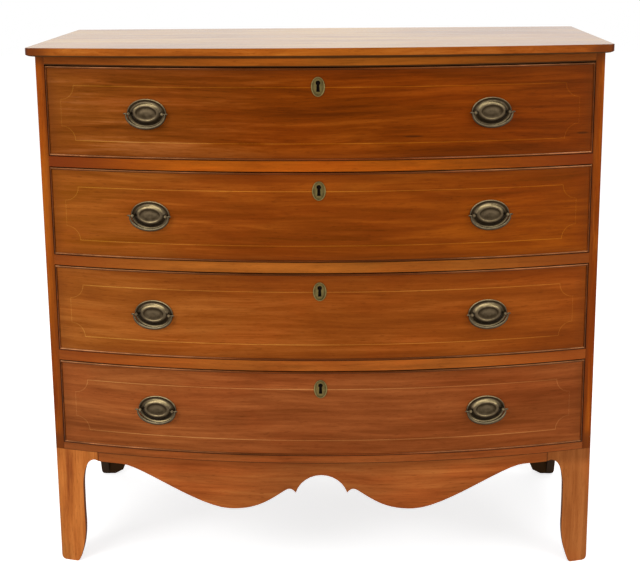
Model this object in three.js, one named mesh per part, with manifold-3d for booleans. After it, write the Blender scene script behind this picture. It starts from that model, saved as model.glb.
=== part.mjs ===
// Bow front chest of four drawers, in millimetres.
// +Z is up, the bowed front faces -Y, and the origin lies on the floor under the middle of the chest.
import * as THREE from 'three';
import { mergeVertices } from 'three/addons/utils/BufferGeometryUtils.js';
import Module from 'manifold-3d';

const wasm = await Module();
wasm.setup();

// Case
const case_width = 1000;
const case_corner_depth = 462;
const case_bow = 82;
const side_thickness = 16.5;
const housing_depth = 6;
const housing_stop = 12;
const back_thickness = 10;
const back_rebate = 8;
const back_board_count = 5;
const back_groove_width = 5;
const back_groove_depth = 2;

// Heights, from the floor up
const base_height = 225;
const bottom_board_thickness = 13.5;
const opening_height = 161.25;
const divider_thickness = 18.5;
const top_rail_height = 17;
const top_thickness = 15;

// Top board
const top_side_overhang = 9;
const top_front_overhang = 4;
const top_back_overhang = 8;
const top_bow = 46;
const top_edge_round = 3.5;

// Rails and runners of the frames between the drawers
const front_rail_depth = 45;
const runner_width = 45;
const rear_rail_depth = 45;
const stop_width = 40;
const stop_depth = 10;
const stop_height = 6;
const stop_place = 150;

// Base: apron, front feet, rear bracket feet and corner blocks
const drawer_count = 4;
const apron_thickness = 18;
const foot_width = 84;
const foot_toe_round = 9;
const skirt_height_share = 0.922;
const foot_curve_shares = [
  [0.37, 0], [0.4, 0], [0.415, 0.01], [0.43, 0.025], [0.495, 0.075], [0.605, 0.165], [0.602, 0.36],
  [0.6, 0.45], [0.602, 0.6], [0.607, 0.69], [0.613, 0.79], [0.69, 0.93], [0.905, 0.932],
];
const rear_foot_curve_shares = [
  [0.15, 0], [0.18, 0.04], [0.36, 0.2], [0.5, 0.33], [0.58, 0.44],
  [0.6, 0.55], [0.61, 0.667], [0.62, 0.845], [0.72, 0.93], [0.905, 0.932],
];
const apron_lobe_shares = [
  [0.895, 0.92], [0.798, 0.92], [0.545, 0.593], [0.405, 0.593], [0.29, 0.593],
  [0.235, 0.668], [0.165, 0.757], [0.15, 0.776], [0.133, 0.795], [0.113, 0.745],
];
const apron_arch_top_share = 0.897;
const bracket_thickness = 12;
const bracket_width = 112;
const bracket_tip_width = 29;
const bracket_curve_shares = [
  [0.42, 0.04], [0.5, 0.1], [0.58, 0.36], [0.8, 0.52], [0.93, 0.61], [1, 0.72], [1, 0.86],
];
const block_width = 24;
const front_block_rise = 30;
const rear_block_rise = 82;
const block_seat = 5;

// Drawers
const drawer_side_gap = 1.3;
const drawer_low_gap = 1.2;
const drawer_top_gap = 1.8;
const runner_gap = 0.3;
const front_thickness = 22;
const drawer_side_thickness = 10;
const drawer_side_drop = 8;
const drawer_back_thickness = 9;
const drawer_back_drop = 5;
const drawer_rear_gap = 6;
const drawer_bottom_thickness = 7;
const drawer_bottom_lift = 10;
const bottom_groove_depth = 5;
const tail_count = 3;
const tail_tip_share = 0.35;
const tail_slope_share = 0.17;
const tail_lap = 2;

// Cockbead round each drawer front
const cockbead_width = 3;
const cockbead_proud = 2;
const cockbead_depth = 7;

// Lock and escutcheon
const lock_width = 56;
const lock_height = 46;
const lock_depth = 9;
const lock_plate_overhang = 5;
const lock_plate_depth = 12;
const lock_plate_thickness = 2;
const keyhole_drop = 33.5;
const keyhole_head_radius = 4;
const keyhole_head_rise = 6.6;
const keyhole_foot_drop = 8.5;
const keyhole_neck_width = 4.6;
const keyhole_foot_width = 6;
const keyhole_depth = 4;
const escutcheon_width = 24;
const escutcheon_height = 34;
const escutcheon_thickness = 1.6;
const escutcheon_round = 0.6;

// Pulls
const pull_place = 298.5;
const plate_width = 72;
const plate_height = 51;
const plate_thickness = 2.8;
const plate_dome_rise = 5.4;
const plate_radius_shares = [1, 1, 0.95, 0.86, 0.76, 0.6, 0.5];
const plate_rise_shares = [0, 0.3, 0.52, 0.28, 0.34, 1, 0.88];
const post_spacing = 61;
const post_head_radius = 3.4;
const post_head_rise = 8.5;
const post_neck_radius = 2.2;
const post_collar_radius = 3.4;
const bolt_radius = 2.3;
const bolt_hole_radius = 3.1;
const nut_radius = 7;
const nut_thickness = 3;
const pin_hole_radius = 1.7;

// Bails
const pin_radius = 1.2;
const pin_grip = 2.5;
const bail_width = 73;
const bail_drop = 25;
const bail_bend_radius = 2.2;
const bail_middle_radius = 2.8;
const bail_tip_reach = 41;
const bail_tip_radius_shares = [1, 1.5, 1.1, 0];
const bail_tip_place_shares = [0, 0.35, 0.65, 1];

// Fits and facets
const seat_gap = 0.3;
const overrun = 20;
const bow_facets = 8;
const curve_facets = 5;
const rim_facets = 5;
const oval_facets = 16;
const post_facets = 6;
const hole_facets = 6;
const ball_rows = 3;
const bail_steps = 16;
const bail_sides = 6;

// Sizes worked out from the ones above
const case_half = case_width / 2;
const opening_half = case_half - side_thickness;
const case_top = base_height + bottom_board_thickness + drawer_count * opening_height
  + (drawer_count - 1) * divider_thickness + top_rail_height;
const depth = case_corner_depth + case_bow + top_front_overhang + top_back_overhang;
const back_y = depth / 2 - top_back_overhang;
const corner_y = back_y - case_corner_depth;
const panel_y = back_y - back_thickness;
const bow_radius = radiusOf(case_half, case_bow);
const bow_centre_y = corner_y - case_bow + bow_radius;
const skirt_height = base_height * skirt_height_share;
const apron_half = case_half - foot_width;
const drawer_half = opening_half - drawer_side_gap;
const front_high = opening_height - drawer_top_gap;
const drawer_side_high = opening_height - drawer_side_drop;
const drawer_rear_y = panel_y - drawer_rear_gap;
const keyhole_z = opening_height - keyhole_drop;

// Colours, as sRGB with roughness and metalness
const cherry_front = material(0x9a4f1c, 0.4, 0);
const cherry_case = material(0x8e4a1e, 0.45, 0);
const cherry_top = material(0xb98a62, 0.35, 0);
const bead_wood = material(0x5e2f18, 0.45, 0);
const poplar = material(0xb08a5c, 0.8, 0);
const aged_brass = material(0x6b6040, 0.4, 1);
const lock_iron = material(0x4a4640, 0.5, 1);

function material(color, roughness, metalness) {
  return new THREE.MeshStandardMaterial({ color, roughness, metalness });
}

// Radius of the arc that rises by sag over a chord of twice half.
function radiusOf(half, sag) {
  return (half ** 2 + sag ** 2) / (2 * sag);
}

// Solids: a closed mesh becomes a solid for joining and cutting, and turns back into a mesh.
function solidOf(geometry) {
  const bare = geometry.clone();
  bare.deleteAttribute('normal');
  bare.deleteAttribute('uv');
  const merged = mergeVertices(bare);
  const corners = merged.index.array;
  const kept = [];
  for (let i = 0; i < corners.length; i += 3) {
    const [a, b, c] = [corners[i], corners[i + 1], corners[i + 2]];
    if (a !== b && b !== c && c !== a) {
      kept.push(a, b, c);
    }
  }
  return new wasm.Manifold(new wasm.Mesh({
    numProp: 3,
    vertProperties: new Float32Array(merged.attributes.position.array),
    triVerts: new Uint32Array(kept),
  }));
}

function geometryOf(solid) {
  const mesh = solid.getMesh();
  const geometry = new THREE.BufferGeometry();
  geometry.setAttribute('position', new THREE.BufferAttribute(new Float32Array(mesh.vertProperties), 3));
  geometry.setIndex(new THREE.BufferAttribute(new Uint32Array(mesh.triVerts), 1));
  const shown = geometry.toNonIndexed();
  shown.computeVertexNormals();
  return shown;
}

function joined(solids) {
  return solids.reduce((whole, piece) => whole.add(piece));
}

function boxSolid([x0, x1], [y0, y1], [z0, z1]) {
  const box = new THREE.BoxGeometry(x1 - x0, y1 - y0, z1 - z0);
  return solidOf(box.translate((x0 + x1) / 2, (y0 + y1) / 2, (z0 + z1) / 2));
}

function extruded(shape, length, curveSegments) {
  return new THREE.ExtrudeGeometry(shape, { depth: length, bevelEnabled: false, curveSegments });
}

// A plan outline in X and Y, raised along Z.
function planSolid(shape, [z0, z1], facets = curve_facets) {
  return solidOf(extruded(shape, z1 - z0, facets).translate(0, 0, z0));
}

// A front outline in X and Z, extruded along Y.
function faceSolid(shape, [y0, y1], facets = curve_facets) {
  return solidOf(extruded(shape, y1 - y0, facets).rotateX(Math.PI / 2).translate(0, y1, 0));
}

// A side outline in Y and Z, extruded along X.
function edgeSolid(shape, [x0, x1], facets = curve_facets) {
  const turn = new THREE.Matrix4().makeBasis(
    new THREE.Vector3(0, 1, 0), new THREE.Vector3(0, 0, 1), new THREE.Vector3(1, 0, 0));
  return solidOf(extruded(shape, x1 - x0, facets).applyMatrix4(turn).translate(x0, 0, 0));
}

// The bow: every bowed face is an arc about one upright axis, with the same facets.
const bow_half_angle = Math.asin((case_half + overrun) / bow_radius);
const bow_facet_fall = bow_radius * (1 - Math.cos(bow_half_angle / (2 * bow_facets)));
const straight_ahead = -Math.PI / 2;

function frontY(x, behind = 0) {
  return bow_centre_y - Math.sqrt((bow_radius - behind) ** 2 - x ** 2);
}

// Everything behind the bowed face that lies the given way behind the front.
function behindBow(behind, heights) {
  const shape = new THREE.Shape();
  const radius = bow_radius - behind;
  shape.absarc(0, bow_centre_y, radius, straight_ahead - bow_half_angle, straight_ahead + bow_half_angle);
  shape.lineTo(case_half + overrun, back_y + overrun);
  shape.lineTo(-case_half - overrun, back_y + overrun);
  return planSolid(shape, heights, bow_facets);
}

// A bowed board between two distances behind the front, from x0 to x1.
function bowedBoard([x0, x1], [ahead, behind], heights) {
  const shape = new THREE.Shape();
  const [start, end] = [straight_ahead - bow_half_angle, straight_ahead + bow_half_angle];
  shape.absarc(0, bow_centre_y, bow_radius - ahead, start, end);
  shape.absarc(0, bow_centre_y, bow_radius - behind, end, start, true);
  const band = planSolid(shape, heights, bow_facets);
  return band.intersect(boxSolid([x0, x1], [corner_y - case_bow - overrun, back_y], heights));
}

// Adds one cubic curve for every three points after the first.
function addCurves(path, points) {
  for (let i = 1; i + 2 < points.length; i += 3) {
    const [a, b, c] = [points[i], points[i + 1], points[i + 2]];
    path.bezierCurveTo(a[0], a[1], b[0], b[1], c[0], c[1]);
  }
}

// The inner curve of a bracket foot, from the floor up, measured from the outer edge of the foot.
function footCurve(shares, outer, inward) {
  return shares.map(([across, up]) => [outer + inward * across * foot_width, up * base_height]);
}

// Everything between the outer faces of the case, with the outer corners of the toes rounded.
function roundedToes() {
  const inner = case_half - foot_toe_round;
  const shape = new THREE.Shape();
  shape.moveTo(-inner, 0);
  shape.lineTo(inner, 0);
  shape.quadraticCurveTo(case_half, 0, case_half, foot_toe_round);
  shape.lineTo(case_half, case_top);
  shape.lineTo(-case_half, case_top);
  shape.lineTo(-case_half, foot_toe_round);
  shape.quadraticCurveTo(-case_half, 0, -inner, 0);
  return faceSolid(shape, [corner_y - case_bow - overrun, back_y]);
}

// Top board with its shallower bow and rounded edges.
function makeTop() {
  const half = case_half + top_side_overhang;
  const radius = radiusOf(half, top_bow);
  const turn = Math.asin(half / radius);
  const shape = new THREE.Shape();
  shape.absarc(0, radius - depth / 2, radius, straight_ahead - turn, straight_ahead + turn);
  shape.lineTo(half, depth / 2);
  shape.lineTo(-half, depth / 2);
  const board = new THREE.ExtrudeGeometry(shape, {
    depth: top_thickness - 2 * top_edge_round,
    bevelThickness: top_edge_round,
    bevelSize: top_edge_round,
    bevelOffset: -top_edge_round,
    bevelSegments: 3,
    curveSegments: bow_facets,
  });
  return solidOf(board.translate(0, 0, case_top + top_edge_round));
}

// Left or right side, down to the floor, with its housings, its rear bracket foot and corner blocks.
function makeSide(hand) {
  const shape = new THREE.Shape();
  const front_curve = footCurve(foot_curve_shares, corner_y, 1);
  const rear_curve = footCurve(rear_foot_curve_shares, back_y, -1).reverse();
  shape.moveTo(corner_y - overrun, 0);
  shape.lineTo(...front_curve[0]);
  addCurves(shape, front_curve);
  shape.lineTo(corner_y + foot_width, skirt_height);
  shape.lineTo(back_y - foot_width, skirt_height);
  shape.lineTo(...rear_curve[0]);
  addCurves(shape, rear_curve);
  shape.lineTo(back_y, 0);
  shape.lineTo(back_y, case_top);
  shape.lineTo(corner_y - overrun, case_top);
  const board = edgeSolid(shape, [opening_half, case_half]).intersect(behindBow(0, [0, case_top]));
  const housings = frameLevels().map((level) => housing(level));
  const rebate = boxSolid(
    [opening_half - overrun, opening_half + back_rebate], [panel_y, back_y + overrun], [base_height, case_top]);
  const blocks = [
    cornerBlock([corner_y - overrun, corner_y + apron_thickness + block_width], front_block_rise),
    cornerBlock([back_y - bracket_thickness - block_width, back_y], rear_block_rise),
  ];
  const front_foot_room = bowedBoard(
    [opening_half - overrun - block_width, case_half + overrun], [-overrun, apron_thickness + seat_gap],
    [-overrun, base_height]);
  const whole = joined([board, rearBracket(), ...blocks])
    .subtract(joined([...housings, rebate, front_foot_room]))
    .intersect(roundedToes());
  return hand > 0 ? whole : whole.mirror([1, 0, 0]);
}

function housing([low, high]) {
  return boxSolid(
    [opening_half - overrun, opening_half + housing_depth], [corner_y + housing_stop, panel_y], [low, high]);
}

function cornerBlock(along, rise) {
  return boxSolid([opening_half - block_width, opening_half + block_seat], along, [rise, base_height]);
}

function rearBracket() {
  const curve = bracket_curve_shares.map(([across, up]) => [
    case_half - across * bracket_width, up * base_height]);
  const shape = new THREE.Shape();
  shape.moveTo(case_half, 0);
  shape.lineTo(case_half, base_height);
  shape.lineTo(case_half - bracket_width, base_height);
  shape.lineTo(...curve[curve.length - 1]);
  addCurves(shape, curve.slice().reverse());
  shape.lineTo(case_half - bracket_tip_width, 0);
  return faceSolid(shape, [back_y - bracket_thickness, back_y]);
}

// Heights of the boards that are housed in the sides, from the bottom board up to the top rail.
function frameLevels() {
  const levels = [[base_height, base_height + bottom_board_thickness]];
  for (let n = 1; n < drawer_count; n += 1) {
    const low = levels[n - 1][1] + opening_height;
    levels.push([low, low + divider_thickness]);
  }
  levels.push([case_top - top_rail_height, case_top]);
  return levels;
}

// A bowed board that fills the opening and is housed in both sides.
function housedBoard(heights) {
  const wide = boxSolid(
    [-opening_half - housing_depth, opening_half + housing_depth], [corner_y + housing_stop, panel_y], heights);
  const narrow = boxSolid([-opening_half, opening_half], [corner_y - case_bow - overrun, panel_y], heights);
  return behindBow(0, heights).intersect(wide.add(narrow));
}

// Two small blocks on a rail that stop the closed drawer at its front.
function drawerStops(level) {
  const low = stop_place - stop_width / 2;
  const high = stop_place + stop_width / 2;
  const front = frontY(high, front_thickness) + bow_facet_fall + seat_gap;
  const along = [front, front + stop_depth];
  const heights = [level - stop_height, level + stop_height];
  return boxSolid([low, high], along, heights).add(boxSolid([-high, -low], along, heights));
}

function frameHole(heights) {
  return boxSolid(
    [-opening_half + runner_width, opening_half - runner_width],
    [corner_y + front_rail_depth, panel_y - rear_rail_depth], heights);
}

function makeFrame([low, high]) {
  return housedBoard([low, high]).subtract(frameHole([low - overrun, high + overrun]));
}

// Back of level boards, each marked off by a groove.
function makeBack() {
  const half = opening_half + back_rebate;
  const pitch = (case_top - base_height) / back_board_count;
  const shape = new THREE.Shape();
  shape.moveTo(panel_y, base_height);
  shape.lineTo(back_y, base_height);
  for (let n = 1; n < back_board_count; n += 1) {
    const joint = base_height + n * pitch;
    shape.lineTo(back_y, joint - back_groove_width / 2);
    shape.lineTo(back_y - back_groove_depth, joint);
    shape.lineTo(back_y, joint + back_groove_width / 2);
  }
  shape.lineTo(back_y, case_top);
  shape.lineTo(panel_y, case_top);
  return edgeSolid(shape, [-half, half]);
}

// Shaped apron between the front feet, symmetric about its middle arch.
function makeApron() {
  const right = apron_lobe_shares.map(([across, up]) => [across * apron_half, up * base_height]);
  const left = right.map(([x, z]) => [-x, z]).reverse();
  const cusp = right[right.length - 1];
  const arch_rise = base_height * apron_arch_top_share - cusp[1];
  const arch_radius = radiusOf(cusp[0], arch_rise);
  const arch_turn = Math.asin(cusp[0] / arch_radius);
  const shape = new THREE.Shape();
  shape.moveTo(apron_half, base_height);
  shape.lineTo(apron_half, skirt_height);
  shape.lineTo(...right[0]);
  addCurves(shape, right);
  shape.absarc(0, cusp[1] + arch_rise - arch_radius, arch_radius,
    Math.PI / 2 - arch_turn, Math.PI / 2 + arch_turn);
  addCurves(shape, left);
  shape.lineTo(-apron_half, skirt_height);
  shape.lineTo(-apron_half, base_height);
  return bowed(shape);
}

// Cuts a front outline out of the bowed board of the base.
function bowed(shape) {
  const board = bowedBoard([-case_half, case_half], [0, apron_thickness], [0, base_height]);
  return faceSolid(shape, [corner_y - case_bow - overrun, back_y]).intersect(board);
}

function makeFrontFoot(hand) {
  const curve = footCurve(foot_curve_shares, case_half, -1).map(([x, z]) => [hand * x, z]);
  const shape = new THREE.Shape();
  shape.moveTo(hand * case_half, 0);
  shape.lineTo(...curve[0]);
  addCurves(shape, curve);
  shape.lineTo(hand * apron_half, skirt_height);
  shape.lineTo(hand * apron_half, base_height);
  shape.lineTo(hand * case_half, base_height);
  return bowed(shape).intersect(roundedToes());
}

// A dovetail tail in side view: wide at its tip, narrower towards the board that it grows from.
function tail(middle, tip, root, across, margin = 0) {
  const towards_tip = Math.sign(tip - root);
  const half = tailPitch() * tail_tip_share + margin;
  const root_half = half - Math.abs(tip - root) * tail_slope_share;
  const tip_y = tip + towards_tip * margin;
  const shape = new THREE.Shape();
  shape.moveTo(tip_y, middle - half);
  shape.lineTo(tip_y, middle + half);
  shape.lineTo(root, middle + root_half);
  shape.lineTo(root, middle - root_half);
  return edgeSolid(shape, across);
}

function tailPitch() {
  return (drawer_side_high - drawer_low_gap) / tail_count;
}

function tailRow(tip, root, across, margin) {
  const tails = [];
  for (let n = 0; n < tail_count; n += 1) {
    tails.push(tail(drawer_low_gap + (n + 0.5) * tailPitch(), tip, root, across, margin));
  }
  return joined(tails);
}

// Tips and roots of the tails at the front and the rear of a drawer side.
const front_tail_tip = frontY(drawer_half, cockbead_depth + seat_gap) + tail_lap;
const front_tail_root = front_tail_tip + front_thickness;
const rear_tail_root = drawer_rear_y - drawer_back_thickness - tail_lap;

function makeDrawerSide(hand) {
  const across = [drawer_half - drawer_side_thickness, drawer_half];
  const heights = [runner_gap, drawer_side_high];
  const body = boxSolid(
    across, [front_tail_tip, drawer_rear_y - drawer_back_thickness - seat_gap], heights)
    .subtract(bowedBoard([-case_half, case_half], [-overrun, front_thickness + seat_gap], heights));
  const side = joined([
    body,
    tailRow(front_tail_tip, front_tail_root, across),
    tailRow(drawer_rear_y, rear_tail_root, across),
  ]).subtract(bottomPanel(seat_gap));
  return hand > 0 ? side : side.mirror([1, 0, 0]);
}

// Room for the tails of both sides, with a fine gap all round.
function tailSockets(tip, root) {
  const across = [drawer_half - drawer_side_thickness - seat_gap, drawer_half + overrun];
  const right = tailRow(tip, root, across, seat_gap);
  return right.add(right.mirror([1, 0, 0]));
}

// Drawer bottom; the same form with a margin cuts its grooves.
function bottomPanel(margin = 0) {
  const half = drawer_half - drawer_side_thickness + bottom_groove_depth + margin;
  const heights = [drawer_bottom_lift - margin, drawer_bottom_lift + drawer_bottom_thickness + margin];
  const panel = behindBow(front_thickness - bottom_groove_depth - margin, heights);
  const rear = margin > 0 ? drawer_rear_y + overrun : drawer_rear_y;
  return panel.intersect(boxSolid([-half, half], [corner_y - case_bow, rear], heights));
}

function makeDrawerBack() {
  const heights = [
    drawer_bottom_lift + drawer_bottom_thickness + seat_gap, drawer_side_high - drawer_back_drop];
  const along = [drawer_rear_y - drawer_back_thickness, drawer_rear_y];
  return boxSolid([-drawer_half, drawer_half], along, heights)
    .subtract(tailSockets(drawer_rear_y, rear_tail_root));
}

function makeDrawerFront() {
  const inset = cockbead_width + seat_gap;
  const face = bowedBoard([-drawer_half + inset, drawer_half - inset], [0, front_thickness],
    [drawer_low_gap + inset, front_high - inset]);
  const body = bowedBoard([-drawer_half, drawer_half], [cockbead_depth + seat_gap, front_thickness],
    [drawer_low_gap, front_high]);
  const keyhole = faceSolid(keyholeShape(), [corner_y - case_bow - overrun, corner_y], curve_facets);
  const cuts = [
    tailSockets(front_tail_tip, front_tail_root), bottomPanel(seat_gap), keyhole, lockForm(seat_gap),
    ...boltHoles(1), ...boltHoles(-1),
  ];
  return face.add(body).subtract(joined(cuts));
}

function makeCockbead() {
  const reach = [-cockbead_proud, cockbead_depth];
  const strip = bowedBoard([-drawer_half, drawer_half], reach, [drawer_low_gap, front_high]);
  const inner_half = drawer_half - cockbead_width;
  return strip.subtract(boxSolid(
    [-inner_half, inner_half], [corner_y - case_bow - overrun, back_y],
    [drawer_low_gap + cockbead_width, front_high - cockbead_width]));
}

// Keyhole with a round head over a shank that widens to its foot.
function keyholeShape() {
  const head_z = keyhole_z + keyhole_head_rise;
  const turn = Math.asin(keyhole_neck_width / 2 / keyhole_head_radius);
  const shape = new THREE.Shape();
  shape.moveTo(-keyhole_foot_width / 2, keyhole_z - keyhole_foot_drop);
  shape.absarc(0, head_z, keyhole_head_radius, straight_ahead - turn, straight_ahead + turn, true);
  shape.lineTo(keyhole_foot_width / 2, keyhole_z - keyhole_foot_drop);
  return shape;
}

// Lock case let into the back of the drawer front, with its plate in the top edge.
function lockForm(margin = 0) {
  const rear = frontY(0, front_thickness);
  const top = front_high - (margin > 0 ? -overrun : 0);
  const plate_low = front_high - lock_plate_thickness - margin;
  const body = boxSolid(
    [-lock_width / 2 - margin, lock_width / 2 + margin],
    [rear - lock_depth - margin, rear + (margin > 0 ? overrun : 0)],
    [front_high - lock_height - margin, front_high - lock_plate_thickness]);
  const plate_half = lock_width / 2 + lock_plate_overhang + margin;
  const plate = boxSolid(
    [-plate_half, plate_half], [rear - lock_plate_depth - margin, rear + (margin > 0 ? overrun : 0)],
    [plate_low, top]);
  return body.add(plate);
}

function makeLock() {
  const front = frontY(0, front_thickness) - lock_depth;
  return lockForm().subtract(faceSolid(keyholeShape(), [front - overrun, front + keyhole_depth]));
}

function makeEscutcheon() {
  const shape = new THREE.Shape();
  shape.absellipse(0, keyhole_z, escutcheon_width / 2 - escutcheon_round,
    escutcheon_height / 2 - escutcheon_round, 0, 2 * Math.PI);
  shape.holes.push(keyholeShape());
  const plate = new THREE.ExtrudeGeometry(shape, {
    depth: escutcheon_thickness - 2 * escutcheon_round,
    bevelThickness: escutcheon_round,
    bevelSize: escutcheon_round,
    bevelSegments: 1,
    curveSegments: rim_facets,
  });
  plate.rotateX(Math.PI / 2);
  return solidOf(plate.translate(0, frontY(0) - seat_gap - escutcheon_round, 0));
}

// Where a pull stands: on the bowed face, turned square to it.
function pullPlace(hand) {
  const turn = hand * Math.asin(pull_place / bow_radius);
  const place = new THREE.Group();
  place.position.set(hand * pull_place, frontY(pull_place), opening_height / 2);
  place.rotation.z = turn;
  place.updateMatrix();
  return place;
}

function boltHoles(hand) {
  const place = pullPlace(hand);
  return [-1, 1].map((end) => {
    const hole = new THREE.CylinderGeometry(
      bolt_hole_radius, bolt_hole_radius, front_thickness + 2 * overrun, hole_facets);
    hole.translate(end * post_spacing / 2, 0, 0);
    return solidOf(hole.applyMatrix4(place.matrix));
  });
}

// A turned piece about the line square to the drawer front, rising outwards.
function turned(profile, facets) {
  const points = profile.map(([radius, rise]) => new THREE.Vector2(radius, rise));
  return new THREE.LatheGeometry(points, facets).rotateX(Math.PI);
}

function postProfile() {
  const nut_reach = post_spacing / 2 + nut_radius;
  const nut_top = frontY(0) - frontY(nut_reach) - front_thickness - seat_gap;
  const profile = [
    [0, nut_top - nut_thickness], [nut_radius, nut_top - nut_thickness], [nut_radius, nut_top],
    [bolt_radius, nut_top], [bolt_radius, plate_thickness / 2], [post_collar_radius, plate_thickness / 2],
  ];
  const start = Math.asin(post_neck_radius / post_head_radius);
  for (let n = 0; n <= ball_rows; n += 1) {
    const angle = start + (Math.PI - start) * n / ball_rows;
    const radius = n < ball_rows ? post_head_radius * Math.sin(angle) : 0;
    profile.push([radius, post_head_rise - post_head_radius * Math.cos(angle)]);
  }
  return profile;
}

// Oval back plate with its dome, and two posts with their bolts and nuts.
function makePull() {
  const profile = [[0, seat_gap]];
  plate_radius_shares.forEach((share, n) => {
    profile.push([share, seat_gap + plate_rise_shares[n] * plate_dome_rise]);
  });
  profile.push([0, seat_gap + plate_rise_shares[plate_rise_shares.length - 1] * plate_dome_rise]);
  const plate = solidOf(turned(profile, oval_facets).scale(plate_width / 2, 1, plate_height / 2));
  const posts = [-1, 1].map((end) => {
    const post = solidOf(turned(postProfile(), post_facets).translate(end * post_spacing / 2, 0, 0));
    return post.subtract(pinHole());
  });
  return joined([plate, ...posts]);
}

function pinHole() {
  const hole = new THREE.CylinderGeometry(pin_hole_radius, pin_hole_radius, plate_width * 2, hole_facets);
  return solidOf(hole.rotateZ(Math.PI / 2).translate(0, -post_head_rise, 0));
}

// Bail: a bar that hangs in an oval from two pins, thickest at its middle.
function makeBail() {
  const half = bail_width / 2;
  const bend = bail_bend_radius;
  const pin_end = post_spacing / 2 - pin_grip;
  const path = new THREE.Path();
  path.moveTo(-pin_end, 0);
  path.lineTo(-half + bend, 0);
  path.absarc(-half + bend, -bend, bend, Math.PI / 2, Math.PI);
  path.absellipse(0, -bend, half, bail_drop - bend, Math.PI, 2 * Math.PI);
  path.absarc(half - bend, -bend, bend, 0, Math.PI / 2);
  path.lineTo(pin_end, 0);
  const total = path.getLength();
  const pin_share = (half - pin_end) / total;
  const radiusAt = (share) => {
    const inside = Math.min(share, 1 - share) - pin_share;
    const swell = Math.max(0, inside) / (0.5 - pin_share);
    return pin_radius + (bail_middle_radius - pin_radius) * Math.sin(swell * Math.PI / 2);
  };
  return joined([solidOf(barAlong(path, radiusAt)), bailTip(1), bailTip(-1)]);
}

// Small pointed tip in line with the pins, outside the bend of the bail.
function bailTip(hand) {
  const start = bail_width / 2 - bail_bend_radius;
  const length = bail_tip_reach - start;
  const points = bail_tip_radius_shares.map((share, n) => new THREE.Vector2(
    share * pin_radius, start + bail_tip_place_shares[n] * length));
  const tip = new THREE.LatheGeometry([new THREE.Vector2(0, start), ...points], bail_sides);
  return solidOf(tip.rotateZ(-hand * Math.PI / 2).translate(0, -post_head_rise, 0));
}

// A round bar along a path in X and Z, with a closed end at each side.
function barAlong(path, radiusAt) {
  const points = [];
  const faces = [];
  for (let n = 0; n <= bail_steps; n += 1) {
    const share = n / bail_steps;
    const middle = path.getPointAt(share);
    const along = path.getTangentAt(share);
    for (let k = 0; k < bail_sides; k += 1) {
      const angle = 2 * Math.PI * k / bail_sides;
      const out = radiusAt(share) * Math.cos(angle);
      points.push(middle.x - along.y * out, radiusAt(share) * Math.sin(angle) - post_head_rise,
        middle.y + along.x * out);
    }
  }
  for (let n = 0; n < bail_steps; n += 1) {
    for (let k = 0; k < bail_sides; k += 1) {
      const [a, b] = [n * bail_sides + k, n * bail_sides + (k + 1) % bail_sides];
      faces.push(b, a, a + bail_sides, b + bail_sides, b, a + bail_sides);
    }
  }
  const last = bail_steps * bail_sides;
  for (let k = 1; k + 1 < bail_sides; k += 1) {
    faces.push(0, k, k + 1, last, last + k + 1, last + k);
  }
  const bar = new THREE.BufferGeometry();
  bar.setAttribute('position', new THREE.Float32BufferAttribute(points, 3));
  bar.setIndex(faces);
  return bar;
}

function named(name, geometry, look) {
  const mesh = new THREE.Mesh(geometry, look);
  mesh.name = name;
  return mesh;
}

function addSolid(group, name, solid, look) {
  group.add(named(name, geometryOf(solid), look));
}

// Case: sides, back, top, the frames that carry the drawers, and the base.
function makeCase(chest) {
  const levels = frameLevels();
  const [bottom, top] = [levels[0], levels[levels.length - 1]];
  addSolid(chest, 'top_board', makeTop(), cherry_top);
  addSolid(chest, 'side_left', makeSide(-1), cherry_case);
  addSolid(chest, 'side_right', makeSide(1), cherry_case);
  addSolid(chest, 'back_panel', makeBack(), poplar);
  addSolid(chest, 'top_rail', makeFrame(top), cherry_case);
  for (let n = 1; n < drawer_count; n += 1) {
    const level = levels[drawer_count - n];
    addSolid(chest, `divider_${n}`, makeFrame(level).add(drawerStops(level[1])), cherry_case);
  }
  addSolid(chest, 'bottom_board', housedBoard(bottom).add(drawerStops(bottom[1])), cherry_case);
  addSolid(chest, 'front_apron', makeApron(), cherry_case);
  addSolid(chest, 'front_foot_left', makeFrontFoot(-1), cherry_case);
  addSolid(chest, 'front_foot_right', makeFrontFoot(1), cherry_case);
}

// One drawer with its trim, lock and pulls; drawer 1 is the top one.
function makeDrawer(chest, number, shapes) {
  const drawer = new THREE.Group();
  drawer.position.z = frameLevels()[drawer_count - number][1];
  const name = `drawer_${number}`;
  drawer.add(named(`${name}_front`, shapes.front, cherry_front));
  drawer.add(named(`${name}_cockbead`, shapes.cockbead, bead_wood));
  drawer.add(named(`${name}_side_left`, shapes.side_left, poplar));
  drawer.add(named(`${name}_side_right`, shapes.side_right, poplar));
  drawer.add(named(`${name}_back`, shapes.back, poplar));
  drawer.add(named(`${name}_bottom`, shapes.bottom, poplar));
  drawer.add(named(`${name}_escutcheon`, shapes.escutcheon, aged_brass));
  drawer.add(named(`${name}_lock`, shapes.lock, lock_iron));
  for (const [side, hand] of [['left', -1], ['right', 1]]) {
    const place = pullPlace(hand);
    place.add(named(`${name}_pull_${side}`, shapes.pull, aged_brass));
    place.add(named(`${name}_bail_${side}`, shapes.bail, aged_brass));
    drawer.add(place);
  }
  chest.add(drawer);
}

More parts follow.
